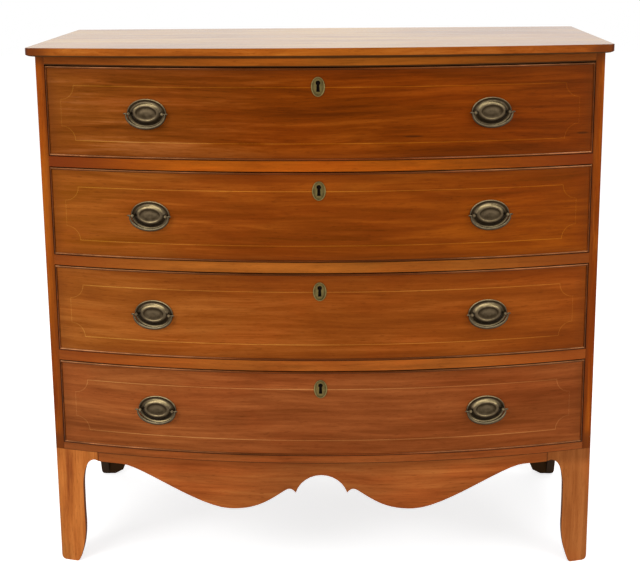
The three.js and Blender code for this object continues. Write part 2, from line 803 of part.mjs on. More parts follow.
function makeChest() {
  const chest = new THREE.Group();
  makeCase(chest);
  const shapes = {
    front: geometryOf(makeDrawerFront()),
    cockbead: geometryOf(makeCockbead()),
    side_left: geometryOf(makeDrawerSide(-1)),
    side_right: geometryOf(makeDrawerSide(1)),
    back: geometryOf(makeDrawerBack()),
    bottom: geometryOf(bottomPanel()),
    escutcheon: geometryOf(makeEscutcheon()),
    lock: geometryOf(makeLock()),
    pull: geometryOf(makePull()),
    bail: geometryOf(makeBail()),
  };
  for (let number = 1; number <= drawer_count; number += 1) {
    makeDrawer(chest, number, shapes);
  }
  return chest;
}

export default makeChest();
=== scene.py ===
"""Scene of a bow front chest of four drawers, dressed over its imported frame."""
import logging
import math
from dataclasses import dataclass
from enum import Enum
from typing import Any, Iterable, Optional, Union

import bmesh
import bpy
from mathutils import Matrix, Vector


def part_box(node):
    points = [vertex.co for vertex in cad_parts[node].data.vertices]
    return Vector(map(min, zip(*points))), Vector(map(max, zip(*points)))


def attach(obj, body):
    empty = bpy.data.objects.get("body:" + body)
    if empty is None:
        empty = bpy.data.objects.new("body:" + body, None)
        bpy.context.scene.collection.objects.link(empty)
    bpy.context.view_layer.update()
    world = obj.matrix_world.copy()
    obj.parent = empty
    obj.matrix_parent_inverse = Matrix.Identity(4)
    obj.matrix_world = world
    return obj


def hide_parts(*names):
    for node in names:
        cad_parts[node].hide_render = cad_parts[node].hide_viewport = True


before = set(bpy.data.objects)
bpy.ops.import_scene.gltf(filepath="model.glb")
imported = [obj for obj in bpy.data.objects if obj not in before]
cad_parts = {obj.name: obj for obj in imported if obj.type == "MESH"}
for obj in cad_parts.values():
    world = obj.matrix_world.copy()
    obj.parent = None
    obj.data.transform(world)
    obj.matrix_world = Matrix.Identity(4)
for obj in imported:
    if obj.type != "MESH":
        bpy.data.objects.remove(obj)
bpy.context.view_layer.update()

LOG = logging.getLogger("chest")
# Names of the marks that the meshes carry for their finishes.
# Mark for wear, and on the brasses also for painted highlights on upward faces.
EDGE_MARK = "wear_and_highlight"
# Mark for painted shade: sawn faces, the top's underside, ends and upper rounding, and the keyhole.
PAINTED_SHADE_MARK = "painted_shade"
# Mark for the polish and tone of some faces, and for the painted highlight on the bead's crest.
FACE_MARK = "polished"
# Degrees from which an edge is eased.
SHARP_TURN = 32
# Degrees up to which two faces count as one.
FLAT_TURN = 0.3
# How far a sawn face may look forwards, as a cosine.
SAWN_TURN = 0.55
# Where the carving of a keyhole starts and ends.
CARVED_DEPTHS = (-0.29, -0.2575)

Colour = tuple[float, float, float]
Point = tuple[float, float]
Place = tuple[float, float, float]
PLAIN: Colour = (1.0, 1.0, 1.0)


def millimetres(value: float) -> float:
    """Turns millimetres into metres."""
    return value / 1000


def paint(red: float, green: float, blue: float) -> Colour:
    """Turns a colour read off a screen, 0 to 255, into the linear colour that shaders use.

    Args:
        red: Red, 0 to 255.
        green: Green, 0 to 255.
        blue: Blue, 0 to 255.

    Returns:
        The same colour, linear, 0 to 1.
    """
    shares = [channel / 255 for channel in (red, green, blue)]
    return tuple(s / 12.92 if s <= 0.04045 else ((s + 0.055) / 1.055) ** 2.4 for s in shares)


def clamped(value: float) -> float:
    """Keeps a value between 0 and 1."""
    return min(1.0, max(0.0, value))


def stand(name: str, data: bpy.types.ID) -> bpy.types.Object:
    """Puts an object into the scene.

    Args:
        name: Its name.
        data: Its mesh, lamp or camera.

    Returns:
        The object.
    """
    shown = bpy.data.objects.new(name, data)
    bpy.context.scene.collection.objects.link(shown)
    return shown


# Near-black for painted shade and painted shadow lines, and for dark seam lines.
SHADE_AND_SEAM_BLACK = paint(24, 17, 12)


class Grain(Enum):
    """The way that the grain of a board runs."""

    ALONG_X = 0
    ALONG_Y = 1
    ALONG_Z = 2


class Blend(Enum):
    """How one colour goes over another."""

    MIX = "MIX"
    MULTIPLY = "MULTIPLY"


class Term:
    """A socket in an expression: every operator adds one Math node to its graph."""

    def __init__(self, graph: "Graph", socket: Optional[bpy.types.NodeSocket]) -> None:
        """Keeps the graph and the socket that this term stands for."""
        self.graph = graph
        self.socket = socket

    def __add__(self, other: "Value") -> "Term":
        """Adds a value."""
        return self.graph.math("ADD", self, other)

    def __radd__(self, other: "Value") -> "Term":
        """Adds itself to a value."""
        return self.graph.math("ADD", other, self)

    def __sub__(self, other: "Value") -> "Term":
        """Takes a value away."""
        return self.graph.math("SUBTRACT", self, other)

    def __rsub__(self, other: "Value") -> "Term":
        """Takes itself away from a value."""
        return self.graph.math("SUBTRACT", other, self)

    def __mul__(self, other: "Value") -> "Term":
        """Multiplies by a value."""
        return self.graph.math("MULTIPLY", self, other)

    def __rmul__(self, other: "Value") -> "Term":
        """Multiplies a value."""
        return self.graph.math("MULTIPLY", other, self)

    def __truediv__(self, other: "Value") -> "Term":
        """Divides by a value."""
        return self.graph.math("DIVIDE", self, other)

    def __rtruediv__(self, other: "Value") -> "Term":
        """Divides a value by itself."""
        return self.graph.math("DIVIDE", other, self)

    def __abs__(self) -> "Term":
        """Drops the sign."""
        return self.graph.math("ABSOLUTE", self, 0.0)


Value = Union[float, int, Term]


class Graph:
    """The node graph of one material or of the world."""

    def __init__(self, owner: Union[bpy.types.Material, bpy.types.World]) -> None:
        """Empties the graph of its owner.

        Args:
            owner: The material or the world.
        """
        self.owner = owner
        self.owner.use_nodes = True
        self.tree = self.owner.node_tree
        self.tree.nodes.clear()

    def node(self, kind: str, settings: Optional[dict[str, Any]] = None,
             sockets: Optional[dict[Union[int, str], Any]] = None, output: Union[int, str] = 0) -> Term:
        """Adds a node, sets it up and feeds its sockets.

        Args:
            kind: The node's type.
            settings: The node's own settings, set before its sockets. "stops" gives a ramp's stops.
            sockets: A value, colour, vector or term for each named or numbered input.
            output: The output that the returned term stands for.

        Returns:
            The term of that output.
        """
        made = self.tree.nodes.new(kind)
        for name, value in (settings or {}).items():
            if name == "stops":
                self.set_stops(made, value)
            else:
                setattr(made, name, value)
        for key, value in (sockets or {}).items():
            self.feed(made.inputs[key], value)
        return Term(self, made.outputs[output] if made.outputs else None)

    def feed(self, socket: bpy.types.NodeSocket, value: Any) -> None:
        """Links a term to a socket, or sets the socket's own value.

        Args:
            socket: The input socket.
            value: A term, a number, a colour or a vector.
        """
        if isinstance(value, Term):
            self.tree.links.new(value.socket, socket)
        elif isinstance(value, (tuple, list)) and socket.type == "RGBA":
            socket.default_value = (*value[:3], 1.0)
        else:
            socket.default_value = value

    def set_stops(self, made: bpy.types.Node, stops: Iterable[tuple[float, Colour]]) -> None:
        """Gives a colour ramp its stops.

        Args:
            made: The ramp node.
            stops: Place and colour of each stop.
        """
        ramp = made.color_ramp
        for number, (place, colour) in enumerate(stops):
            stop = ramp.elements[number] if number < 2 else ramp.elements.new(place)
            stop.position = place
            stop.color = (*colour, 1.0)

    def math(self, operation: str, first: Value, second: Value) -> Term:
        """Adds one Math node and returns its result."""
        return self.node("ShaderNodeMath", {"operation": operation}, {0: first, 1: second})

    def place(self) -> Term:
        """The point on the piece, in metres, in the frame of the whole chest."""
        return self.node("ShaderNodeTexCoord", output="Object")

    def mark(self, name: str) -> Term:
        """Reads one of the marks that the meshes carry, 0 where a mesh has none."""
        return self.node("ShaderNodeAttribute", {"attribute_name": name}, output="Fac")

    def seen_plainly(self) -> Term:
        """1 for the eye and for polished or clear faces, 0 for the light that falls on the chest.

        Returns:
            The share.
        """
        seen = self.node("ShaderNodeLightPath", output="Is Camera Ray")
        outputs = seen.socket.node.outputs
        for name in ("Is Glossy Ray", "Is Transmission Ray"):
            seen = self.math("MAXIMUM", seen, Term(self, outputs[name]))
        return seen

    def moved(self, vector: Term, by: Any) -> Term:
        """Adds a vector to a vector."""
        return self.node("ShaderNodeVectorMath", {"operation": "ADD"}, {0: vector, 1: by})

    def stretched(self, vector: Term, by: Any) -> Term:
        """Multiplies a vector by a vector, axis by axis."""
        return self.node("ShaderNodeVectorMath", {"operation": "MULTIPLY"}, {0: vector, 1: by})

    def axes(self, vector: Term) -> tuple[Term, Term, Term]:
        """Splits a vector.

        Args:
            vector: The vector.

        Returns:
            Its x, y and z.
        """
        split = self.node("ShaderNodeSeparateXYZ", sockets={0: vector})
        outputs = split.socket.node.outputs
        return Term(self, outputs[0]), Term(self, outputs[1]), Term(self, outputs[2])

    def noise(self, vector: Term, detail: float = 2.0, roughness: float = 0.5,
              distortion: float = 0.0, output: str = "Fac") -> Term:
        """Adds a noise texture.

        Args:
            vector: Where it is read, already scaled.
            detail: Number of finer layers.
            roughness: Strength of the finer layers.
            distortion: How far it bends itself.
            output: "Fac" or "Color".

        Returns:
            The noise, 0 to 1.
        """
        return self.node("ShaderNodeTexNoise", {"noise_dimensions": "3D"}, {
            "Vector": vector, "Scale": 1.0, "Detail": detail, "Roughness": roughness,
            "Distortion": distortion}, output)

    def speckle(self, vector: Term, waves: float, detail: float = 2.0, roughness: float = 0.5) -> Term:
        """Adds a noise that is alike in every direction, with its waves per metre."""
        return self.noise(self.stretched(vector, (waves, waves, waves)), detail, roughness)

    def ramp(self, value: Term, stops: Iterable[tuple[float, Colour]]) -> Term:
        """Turns a value into a colour by a ramp."""
        return self.node("ShaderNodeValToRGB", {"stops": stops}, {0: value}, "Color")

    def step(self, value: Term, low: float, high: float) -> Term:
        """Rises smoothly from 0 at low to 1 at high.

        Args:
            value: The value that is watched.
            low: Where the result is 0.
            high: Where the result is 1.

        Returns:
            The smooth step.
        """
        return self.node("ShaderNodeMapRange", {"interpolation_type": "SMOOTHSTEP", "clamp": True},
                         {"Value": value, "From Min": low, "From Max": high}, "Result")

    def layer(self, amount: Value, under: Any, over: Any, way: Blend = Blend.MIX) -> Term:
        """Lays one colour over another.

        Args:
            amount: How much of the upper colour shows.
            under: The lower colour.
            over: The upper colour.
            way: How they combine.

        Returns:
            The combined colour.
        """
        return self.node("ShaderNodeMix", {"data_type": "RGBA", "blend_type": way.value},
                         {0: amount, 6: under, 7: over}, 2)

    def relief(self, height: Term, distance: float, strength: float = 1.0) -> Term:
        """Turns a height into a normal."""
        return self.node("ShaderNodeBump", {}, {
            "Strength": strength, "Distance": distance, "Height": height}, "Normal")

    def finish(self, **sockets: Any) -> bpy.types.Material:
        """Adds the surface shader and the output.

        Args:
            **sockets: The shader's inputs, with underscores for spaces.

        Returns:
            The finished material.
        """
        named_sockets = {name.replace("_", " "): value for name, value in sockets.items()}
        surface = self.node("ShaderNodeBsdfPrincipled", sockets=named_sockets, output="BSDF")
        self.node("ShaderNodeOutputMaterial", sockets={"Surface": surface})
        return self.owner


@dataclass(frozen=True)
class Figure:
    """One noise in the wood: its waves per metre along and across the grain, and how fine it is."""

    along: float
    across: float
    detail: float = 1.0
    roughness: float = 0.5
    distortion: float = 0.0


SWAY = Figure(3.1, 9.0)
BROAD = Figure(1.6, 8.0, 2.0)
FLAME = Figure(3.2, 46.0, 5.0, 0.66, 0.4)
LINES = Figure(8.0, 380.0, 3.0, 0.65)
BANDS = Figure(6.5, 125.0, 3.0, 0.55, 0.2)
CURL = Figure(13.0, 27.0, 3.0, 0.55, 0.3)
BLUSH = Figure(4.5, 15.0, 3.0, 0.55, 0.3)
FLECKS = Figure(60.0, 620.0)
PORES = Figure(120.0, 2100.0)

BLUSH_TINT: Colour = (1.08, 0.86, 0.76)
CURL_TINT: Colour = (0.62, 0.5, 0.42)
STREAK_TINT: Colour = (0.6, 0.5, 0.42)
FLECK_TINT: Colour = (0.45, 0.34, 0.25)
PORE_TINT: Colour = (0.4, 0.3, 0.25)
# Painted shade on faces that the light hardly reaches.
PAINTED_SHADE_TINT: Colour = (0.22, 0.16, 0.12)


@dataclass(frozen=True)
class WoodFinish:
    """One board's wood under its polish: broad tone, flame figure, streaks, curl, pores, dirt, and painted
    light and shade.
    """

    name: str
    grain: Grain
    seed: float
    deep: Colour
    warm: Colour
    bright: Colour
    curl: float = 0.3
    blush: float = 0.5
    streak: float = 0.42
    flecks: float = 0.4
    pores: float = 0.3
    sway: float = 0.022
    gloss: float = 0.36
    shine: float = 0.22
    sheen_tint: Colour = (1.0, 0.42, 0.1)
    coat: float = 0.0
    tone_and_highlight: Colour = PLAIN
    relief: float = 0.15
    # Tints of the left part, the middle and the right part: partly the wood's own tone, partly painted light
    # and shade.
    left_tint_and_light: Colour = PLAIN
    middle_tint_and_light: Colour = PLAIN
    right_tint_and_light: Colour = PLAIN
    # Colour of the darkening: dirt and dark seams, and painted shade.
    grime_and_shade: Colour = paint(84, 34, 8)
    # Half width where the dark ends start, their fade and their share; on the rails and the top's front edge
    # they are painted shade.
    dark_ends: tuple[float, float, float] = (0.5, 0.1, 0.0)
    # Inner edge, fade and share of a darkening: a dark seam on the feet, painted shade on the inner faces of
    # the sides.
    dark_inner: tuple[float, float, float] = (0.0, 0.01, 0.0)
    # Half width, lower and upper level of the part left as it is, and the share of the darkening round it; on
    # the sides it is painted shade under the top and near the floor.
    dark_rim: tuple[float, float, float, float] = (0.5, 0.0, 1.0, 0.0)
    # Levels below and above which the board is painted dark: painted shadow under the top and above the first
    # drawer, and a dark seam line where the apron meets the bottom board.
    shadow_levels: tuple[float, float] = (-1.0, 9.0)
    # Half width, front, rear and ceiling of the unseen room under the case, where the board is painted with
    # shade.
    dark_inside: Optional[tuple[float, float, float, float]] = None
    # Place across and up, half width and half height of each knot.
    knots: tuple[tuple[float, float, float, float], ...] = ()
    knot_tone: Colour = paint(56, 20, 4)
    edge_wear: float = 0.5
    edge_tone: Colour = (1.5, 1.45, 1.4)
    # How dark the painted shade on marked faces is.
    painted_shade_share: float = 0.85
    bent: float = 0.0

    def figure(self, graph: Graph, board: Term, kind: Figure, output: str = "Fac") -> Term:
        """Reads one noise of the wood.

        Args:
            graph: The graph that is built.
            board: The point on the board.
            kind: The noise.
            output: "Fac" or "Color".

        Returns:
            The noise, 0 to 1.
        """
        flow = tuple(kind.along if axis == self.grain.value else kind.across for axis in range(3))
        return graph.noise(graph.stretched(board, flow), kind.detail, kind.roughness, kind.distortion, output)

    def material(self) -> bpy.types.Material:
        """Builds the material.

        Returns:
            The material.
        """
        graph = Graph(bpy.data.materials.new(self.name))
        here = graph.place()
        board = graph.moved(self.flattened(graph, here), (self.seed, self.seed * 1.7, self.seed * 0.6))
        bend = graph.moved(self.figure(graph, board, SWAY, "Color"), (-0.5, -0.5, -0.5))
        swayed = graph.moved(board, graph.stretched(bend, (self.sway, self.sway, self.sway)))
        broad, flame, lines, bands, curl, blush = (
            self.figure(graph, swayed, kind) for kind in (BROAD, FLAME, LINES, BANDS, CURL, BLUSH))
        flecks = graph.step(self.figure(graph, swayed, FLECKS), 0.63, 0.72)
        pores = graph.step(self.figure(graph, board, PORES), 0.6, 0.74)
        tone = broad * 0.3 + flame * 0.34 + bands * 0.2 + lines * 0.16
        colour = graph.ramp(tone, [(0.41, self.deep), (0.5, self.warm), (0.59, self.bright)])
        wear = graph.mark(EDGE_MARK) * graph.step(broad + lines * 0.5, 0.6, 0.85) * self.edge_wear
        for amount, tint in (
                (graph.step(blush, 0.44, 0.62) * self.blush, BLUSH_TINT),
                (graph.step(curl, 0.48, 0.7) * self.curl, CURL_TINT),
                (graph.step(lines, 0.5, 0.75) * self.streak, STREAK_TINT),
                (flecks * self.flecks, FLECK_TINT), (pores * self.pores, PORE_TINT), (wear, self.edge_tone)):
            colour = graph.layer(amount, colour, tint, Blend.MULTIPLY)
        colour = self.tinted_and_lit(graph, here, colour, flame)
        colour = self.grimed_and_shaded(graph, here, colour, flame)
        colour = self.knotted_and_shaded(graph, here, colour)
        polished = graph.mark(FACE_MARK)
        # Tone of the marked faces; on the bead's crest it is a painted highlight.
        if self.tone_and_highlight != PLAIN:
            colour = graph.layer(polished, colour, self.tone_and_highlight, Blend.MULTIPLY)
        # Painted shade where the mesh marks it.
        painted_shade = graph.mark(PAINTED_SHADE_MARK) * self.painted_shade_share
        colour = graph.layer(painted_shade, colour, PAINTED_SHADE_TINT, Blend.MULTIPLY)
        rough = self.gloss + lines * 0.14 - 0.07 + curl * 0.1 - 0.05 + pores * 0.1 + painted_shade * 0.5
        height = lines * 0.5 + curl * 0.6 - pores * 0.8
        return graph.finish(
            Base_Color=colour, Roughness=rough, Normal=graph.relief(height, 0.0004, self.relief),
            Specular_IOR_Level=self.shine, Specular_Tint=self.sheen_tint,
            Coat_Weight=polished * self.coat, Coat_Roughness=0.2)

    def flattened(self, graph: Graph, here: Term) -> Term:
        """The point on the board before it was bent, so that the grain follows the bow.

        Args:
            graph: The graph that is built.
            here: The point on the piece.

        Returns:
            The point on the flat board.
        """
        if not self.bent:
            return here
        across, depth, up = graph.axes(here)
        depth = depth - across * across * self.bent
        return graph.node("ShaderNodeCombineXYZ", sockets={0: across, 1: depth, 2: up})

    def tinted_and_lit(self, graph: Graph, here: Term, colour: Term, flame: Term) -> Term:
        """Tints the left part, the middle and the right part of the board: partly the wood's own tone, partly
        painted light and shade from the lamps across the bow.

        Args:
            graph: The graph that is built.
            here: The point on the piece.
            colour: The colour so far.
            flame: A noise that breaks the edges of the shades.

        Returns:
            The shaded colour.
        """
        across, _, _ = graph.axes(here)
        for hand, tint in ((-1, self.left_tint_and_light), (1, self.right_tint_and_light)):
            if tint != PLAIN:
                share = graph.step(across * hand + flame * 0.3 - 0.15, 0.06, 0.47)
                colour = graph.layer(share, colour, tint, Blend.MULTIPLY)
        if self.middle_tint_and_light != PLAIN:
            middle = graph.step(0.2 - abs(across) + flame * 0.1 - 0.05, 0.0, 0.16)
            colour = graph.layer(middle, colour, self.middle_tint_and_light, Blend.MULTIPLY)
        return colour

    def grimed_and_shaded(self, graph: Graph, here: Term, colour: Term, flame: Term) -> Term:
        """Lays dark ends, a dark rim and dark inner edges over the wood; some are dark seams, and on the
        rails, the top and the sides they are painted shade.

        Args:
            graph: The graph that is built.
            here: The point on the piece.
            colour: The colour so far.
            flame: A noise that breaks the edges of the darkening.

        Returns:
            The darkened colour.
        """
        across, _, up = graph.axes(here)
        half, fade, amount = self.dark_ends
        if amount:
            ends = graph.step(abs(across) + flame * 0.06 - 0.03, half - fade, half)
            colour = graph.layer(ends * amount * (1 - graph.mark(FACE_MARK)), colour, self.grime_and_shade)
        half, low, high, amount = self.dark_rim
        if amount:
            middle = (low + high) / 2
            reach = (high - low) / 2
            side = graph.step(abs(across) + flame * 0.02, half - 0.018, half + 0.008)
            level = graph.step(abs(up - middle) + flame * 0.02, reach - 0.014, reach + 0.01)
            colour = graph.layer(graph.math("MAXIMUM", side, level) * amount, colour, self.grime_and_shade)
        half, fade, amount = self.dark_inner
        if amount:
            inner = graph.step(half + fade - abs(across), 0.0, fade)
            colour = graph.layer(inner * amount, colour, self.grime_and_shade)
        return colour

    def knotted_and_shaded(self, graph: Graph, here: Term, colour: Term) -> Term:
        """Lays knots, painted shadow lines, dark seam lines and painted shade on unseen faces over the wood.

        Args:
            graph: The graph that is built.
            here: The point on the piece.
            colour: The colour so far.

        Returns:
            The sooted colour.
        """
        across, depth, up = graph.axes(here)
        for x, z, half_x, half_z in self.knots:
            wide = (across - x) / half_x
            tall = (up - z) / half_z
            knot = graph.step(1.4 - wide * wide - tall * tall, 0.0, 1.2)
            colour = graph.layer(knot * 0.8, colour, self.knot_tone)
        # Painted shadow lines, and dark seam lines at the apron.
        low, high = self.shadow_levels
        if low > 0:
            shadow = graph.step(low - up, 0.0, 0.0012)
            colour = graph.layer(shadow * 0.9, colour, SHADE_AND_SEAM_BLACK)
        if high < 1:
            shadow = graph.step(up - high, 0.0, 0.0014)
            colour = graph.layer(shadow * 0.75, colour, SHADE_AND_SEAM_BLACK)
        # Painted shade inside the case near the rear feet.
        if self.dark_inside:
            half, front, rear, ceiling = self.dark_inside
            inside = graph.step(half - abs(across), 0.0, 0.0006)
            under = graph.step(ceiling - up, 0.0, 0.02)
            between = graph.step(depth, front, front + 0.03) * graph.step(rear - depth, 0.0, 0.004)
            colour = graph.layer(inside * under * between, colour, SHADE_AND_SEAM_BLACK)
        return colour


@dataclass(frozen=True)
class BrassFinish:
    """Old brass: brown patina in its recesses, brighter where hands wear it, painted highlights on faces that
    look up, and painted shade in the keyhole.
    """

    name: str
    seed: float
    patina: Colour = paint(43, 34, 22)
    body: Colour = paint(79, 67, 50)
    rubbed_and_highlit: Colour = paint(157, 139, 101)
    dull: float = 0.4

    def material(self) -> bpy.types.Material:
        """Builds the material.

        Returns:
            The material.
        """
        graph = Graph(bpy.data.materials.new(self.name))
        place = graph.moved(graph.place(), (self.seed, self.seed, self.seed))
        clouds = graph.speckle(place, 110.0, 3.0, 0.6)
        specks = graph.speckle(place, 700.0, 2.0, 0.6)
        # Wear and painted highlights both lift the brass toward its brightest colour.
        high = graph.mark(EDGE_MARK) + clouds * 0.5 - 0.25
        painted_shade = graph.mark(PAINTED_SHADE_MARK)
        colour = graph.layer(graph.step(high, 0.05, 0.45), self.patina, self.body)
        wear_and_highlight = graph.step(high, 0.45, 0.95)
        colour = graph.layer(wear_and_highlight, colour, self.rubbed_and_highlit)
        colour = graph.layer(graph.step(specks, 0.56, 0.7) * 0.45, colour, self.patina)
        # Painted shade in the keyhole.
        colour = graph.layer(painted_shade, colour, SHADE_AND_SEAM_BLACK)
        rough = self.dull + clouds * 0.2 - 0.1 - wear_and_highlight * 0.12 + specks * 0.08 + painted_shade * 0.4
        return graph.finish(
            Base_Color=colour, Metallic=1 - painted_shade, Roughness=rough, Specular_IOR_Level=0.05,
            Normal=graph.relief(clouds * 0.7 + specks * 0.3, 0.0003, 0.5))


@dataclass(frozen=True)
class IronFinish:
    """Dark iron with a bloom of rust."""

    name: str
    seed: float
    iron: Colour = paint(50, 46, 42)
    rust: Colour = paint(78, 46, 28)

    def material(self) -> bpy.types.Material:
        """Builds the material.

        Returns:
            The material.
        """
        graph = Graph(bpy.data.materials.new(self.name))
        place = graph.moved(graph.place(), (self.seed, self.seed, self.seed))
        bloom = graph.step(graph.speckle(place, 160.0, 4.0, 0.65), 0.52, 0.66)
        grit = graph.speckle(place, 1200.0)
        colour = graph.layer(bloom, self.iron, self.rust)
        return graph.finish(
            Base_Color=colour, Metallic=1 - bloom * 0.8, Roughness=0.45 + bloom * 0.35,
            Normal=graph.relief(grit + bloom, 0.0003, 0.4))


@dataclass(frozen=True)
class PaleFloor:
    """The studio's plain pale floor, which the eye and polished faces see a little paler."""

    name: str = "studio_floor"
    tone: float = 0.9
    lift: float = 0.68

    def material(self) -> bpy.types.Material:
        """Builds the material.

        Returns:
            The material.
        """
        graph = Graph(bpy.data.materials.new(self.name))
        mist = graph.speckle(graph.place(), 0.7)
        pale = (self.tone, self.tone, self.tone)
        colour = graph.layer(mist * 0.04, pale, (0.86, 0.86, 0.86))
        glow = graph.layer(graph.seen_plainly(), (0.0, 0.0, 0.0), (1.0, 1.0, 1.0))
        return graph.finish(
            Base_Color=colour, Roughness=0.9, Specular_IOR_Level=0.1,
            Emission_Color=glow, Emission_Strength=self.lift)


Finish = Union[WoodFinish, BrassFinish, IronFinish, PaleFloor]


class Palette:
    """Every finish of the chest, each made into a material once."""

    def __init__(self) -> None:
        """Starts with no material made."""
        self.made: dict[str, bpy.types.Material] = {}

    def dress(self, finish: Finish) -> bpy.types.Material:
        """Makes a finish's material, or finds the one made before.

        Args:
            finish: The finish.

        Returns:
            Its material.
        """
        if finish.name not in self.made:
            self.made[finish.name] = finish.material()
        return self.made[finish.name]


@dataclass(frozen=True)
class Bow:
    """A bowed face: an arc about an upright axis, which the frame holds as flat facets.

    It is half wide on each side, falls back by sag at its ends and stands at front in its middle.
    """

    half: float
    sag: float
    front: float
    facet_half: float = 0.52
    facets: int = 16

    @property
    def radius(self) -> float:
        """Radius of the arc."""
        return (self.half ** 2 + self.sag ** 2) / (2 * self.sag)

    @property
    def centre_y(self) -> float:
        """Where the axis of the arc stands."""
        return self.front + self.radius

    @property
    def bend(self) -> float:
        """How fast the face falls back with the square of the distance from the middle."""
        return 1 / (2 * self.radius)

    def face(self, across: float, behind: float = 0.0) -> float:
        """Depth of the bowed face.

        Args:
            across: Distance from the middle of the chest.
            behind: How far behind the face, square to it.

        Returns:
            The y of that point.
        """
        return self.centre_y - math.sqrt((self.radius - behind) ** 2 - across ** 2)

    def facet_face(self, across: float) -> float:
        """Depth of the faceted face of the frame.

        Args:
            across: Distance from the middle of the chest.

        Returns:
            The y of that point of the facet.
        """
        turn = 2 * math.asin(self.facet_half / self.radius) / self.facets
        number = math.floor(math.asin(across / self.radius) / turn)
        start = self.radius * math.sin(number * turn)
        end = self.radius * math.sin((number + 1) * turn)
        share = (across - start) / (end - start)
        return self.face(start) * (1 - share) + self.face(end) * share

    def ease(self, mesh: bmesh.types.BMesh, behind: float) -> None:
        """Moves the front part of a faceted mesh out onto the true arc.

        Args:
            mesh: The mesh.
            behind: Points further back than this y stay.
        """
        for vert in mesh.verts:
            if vert.co.y < behind:
                vert.co.y += self.face(vert.co.x) - self.facet_face(vert.co.x)


CASE_BOW = Bow(half=0.5, sag=0.082, front=-0.274)
TOP_BOW = Bow(half=0.509, sag=0.046, front=-0.278)
TOP_OPENING = 0.77775
DRAWER_PITCH = 0.17975


def opening_low(number: int) -> float:
    """Level of the lower edge of a drawer's opening, with the drawers counted from the top."""
    return TOP_OPENING - (number - 1) * DRAWER_PITCH


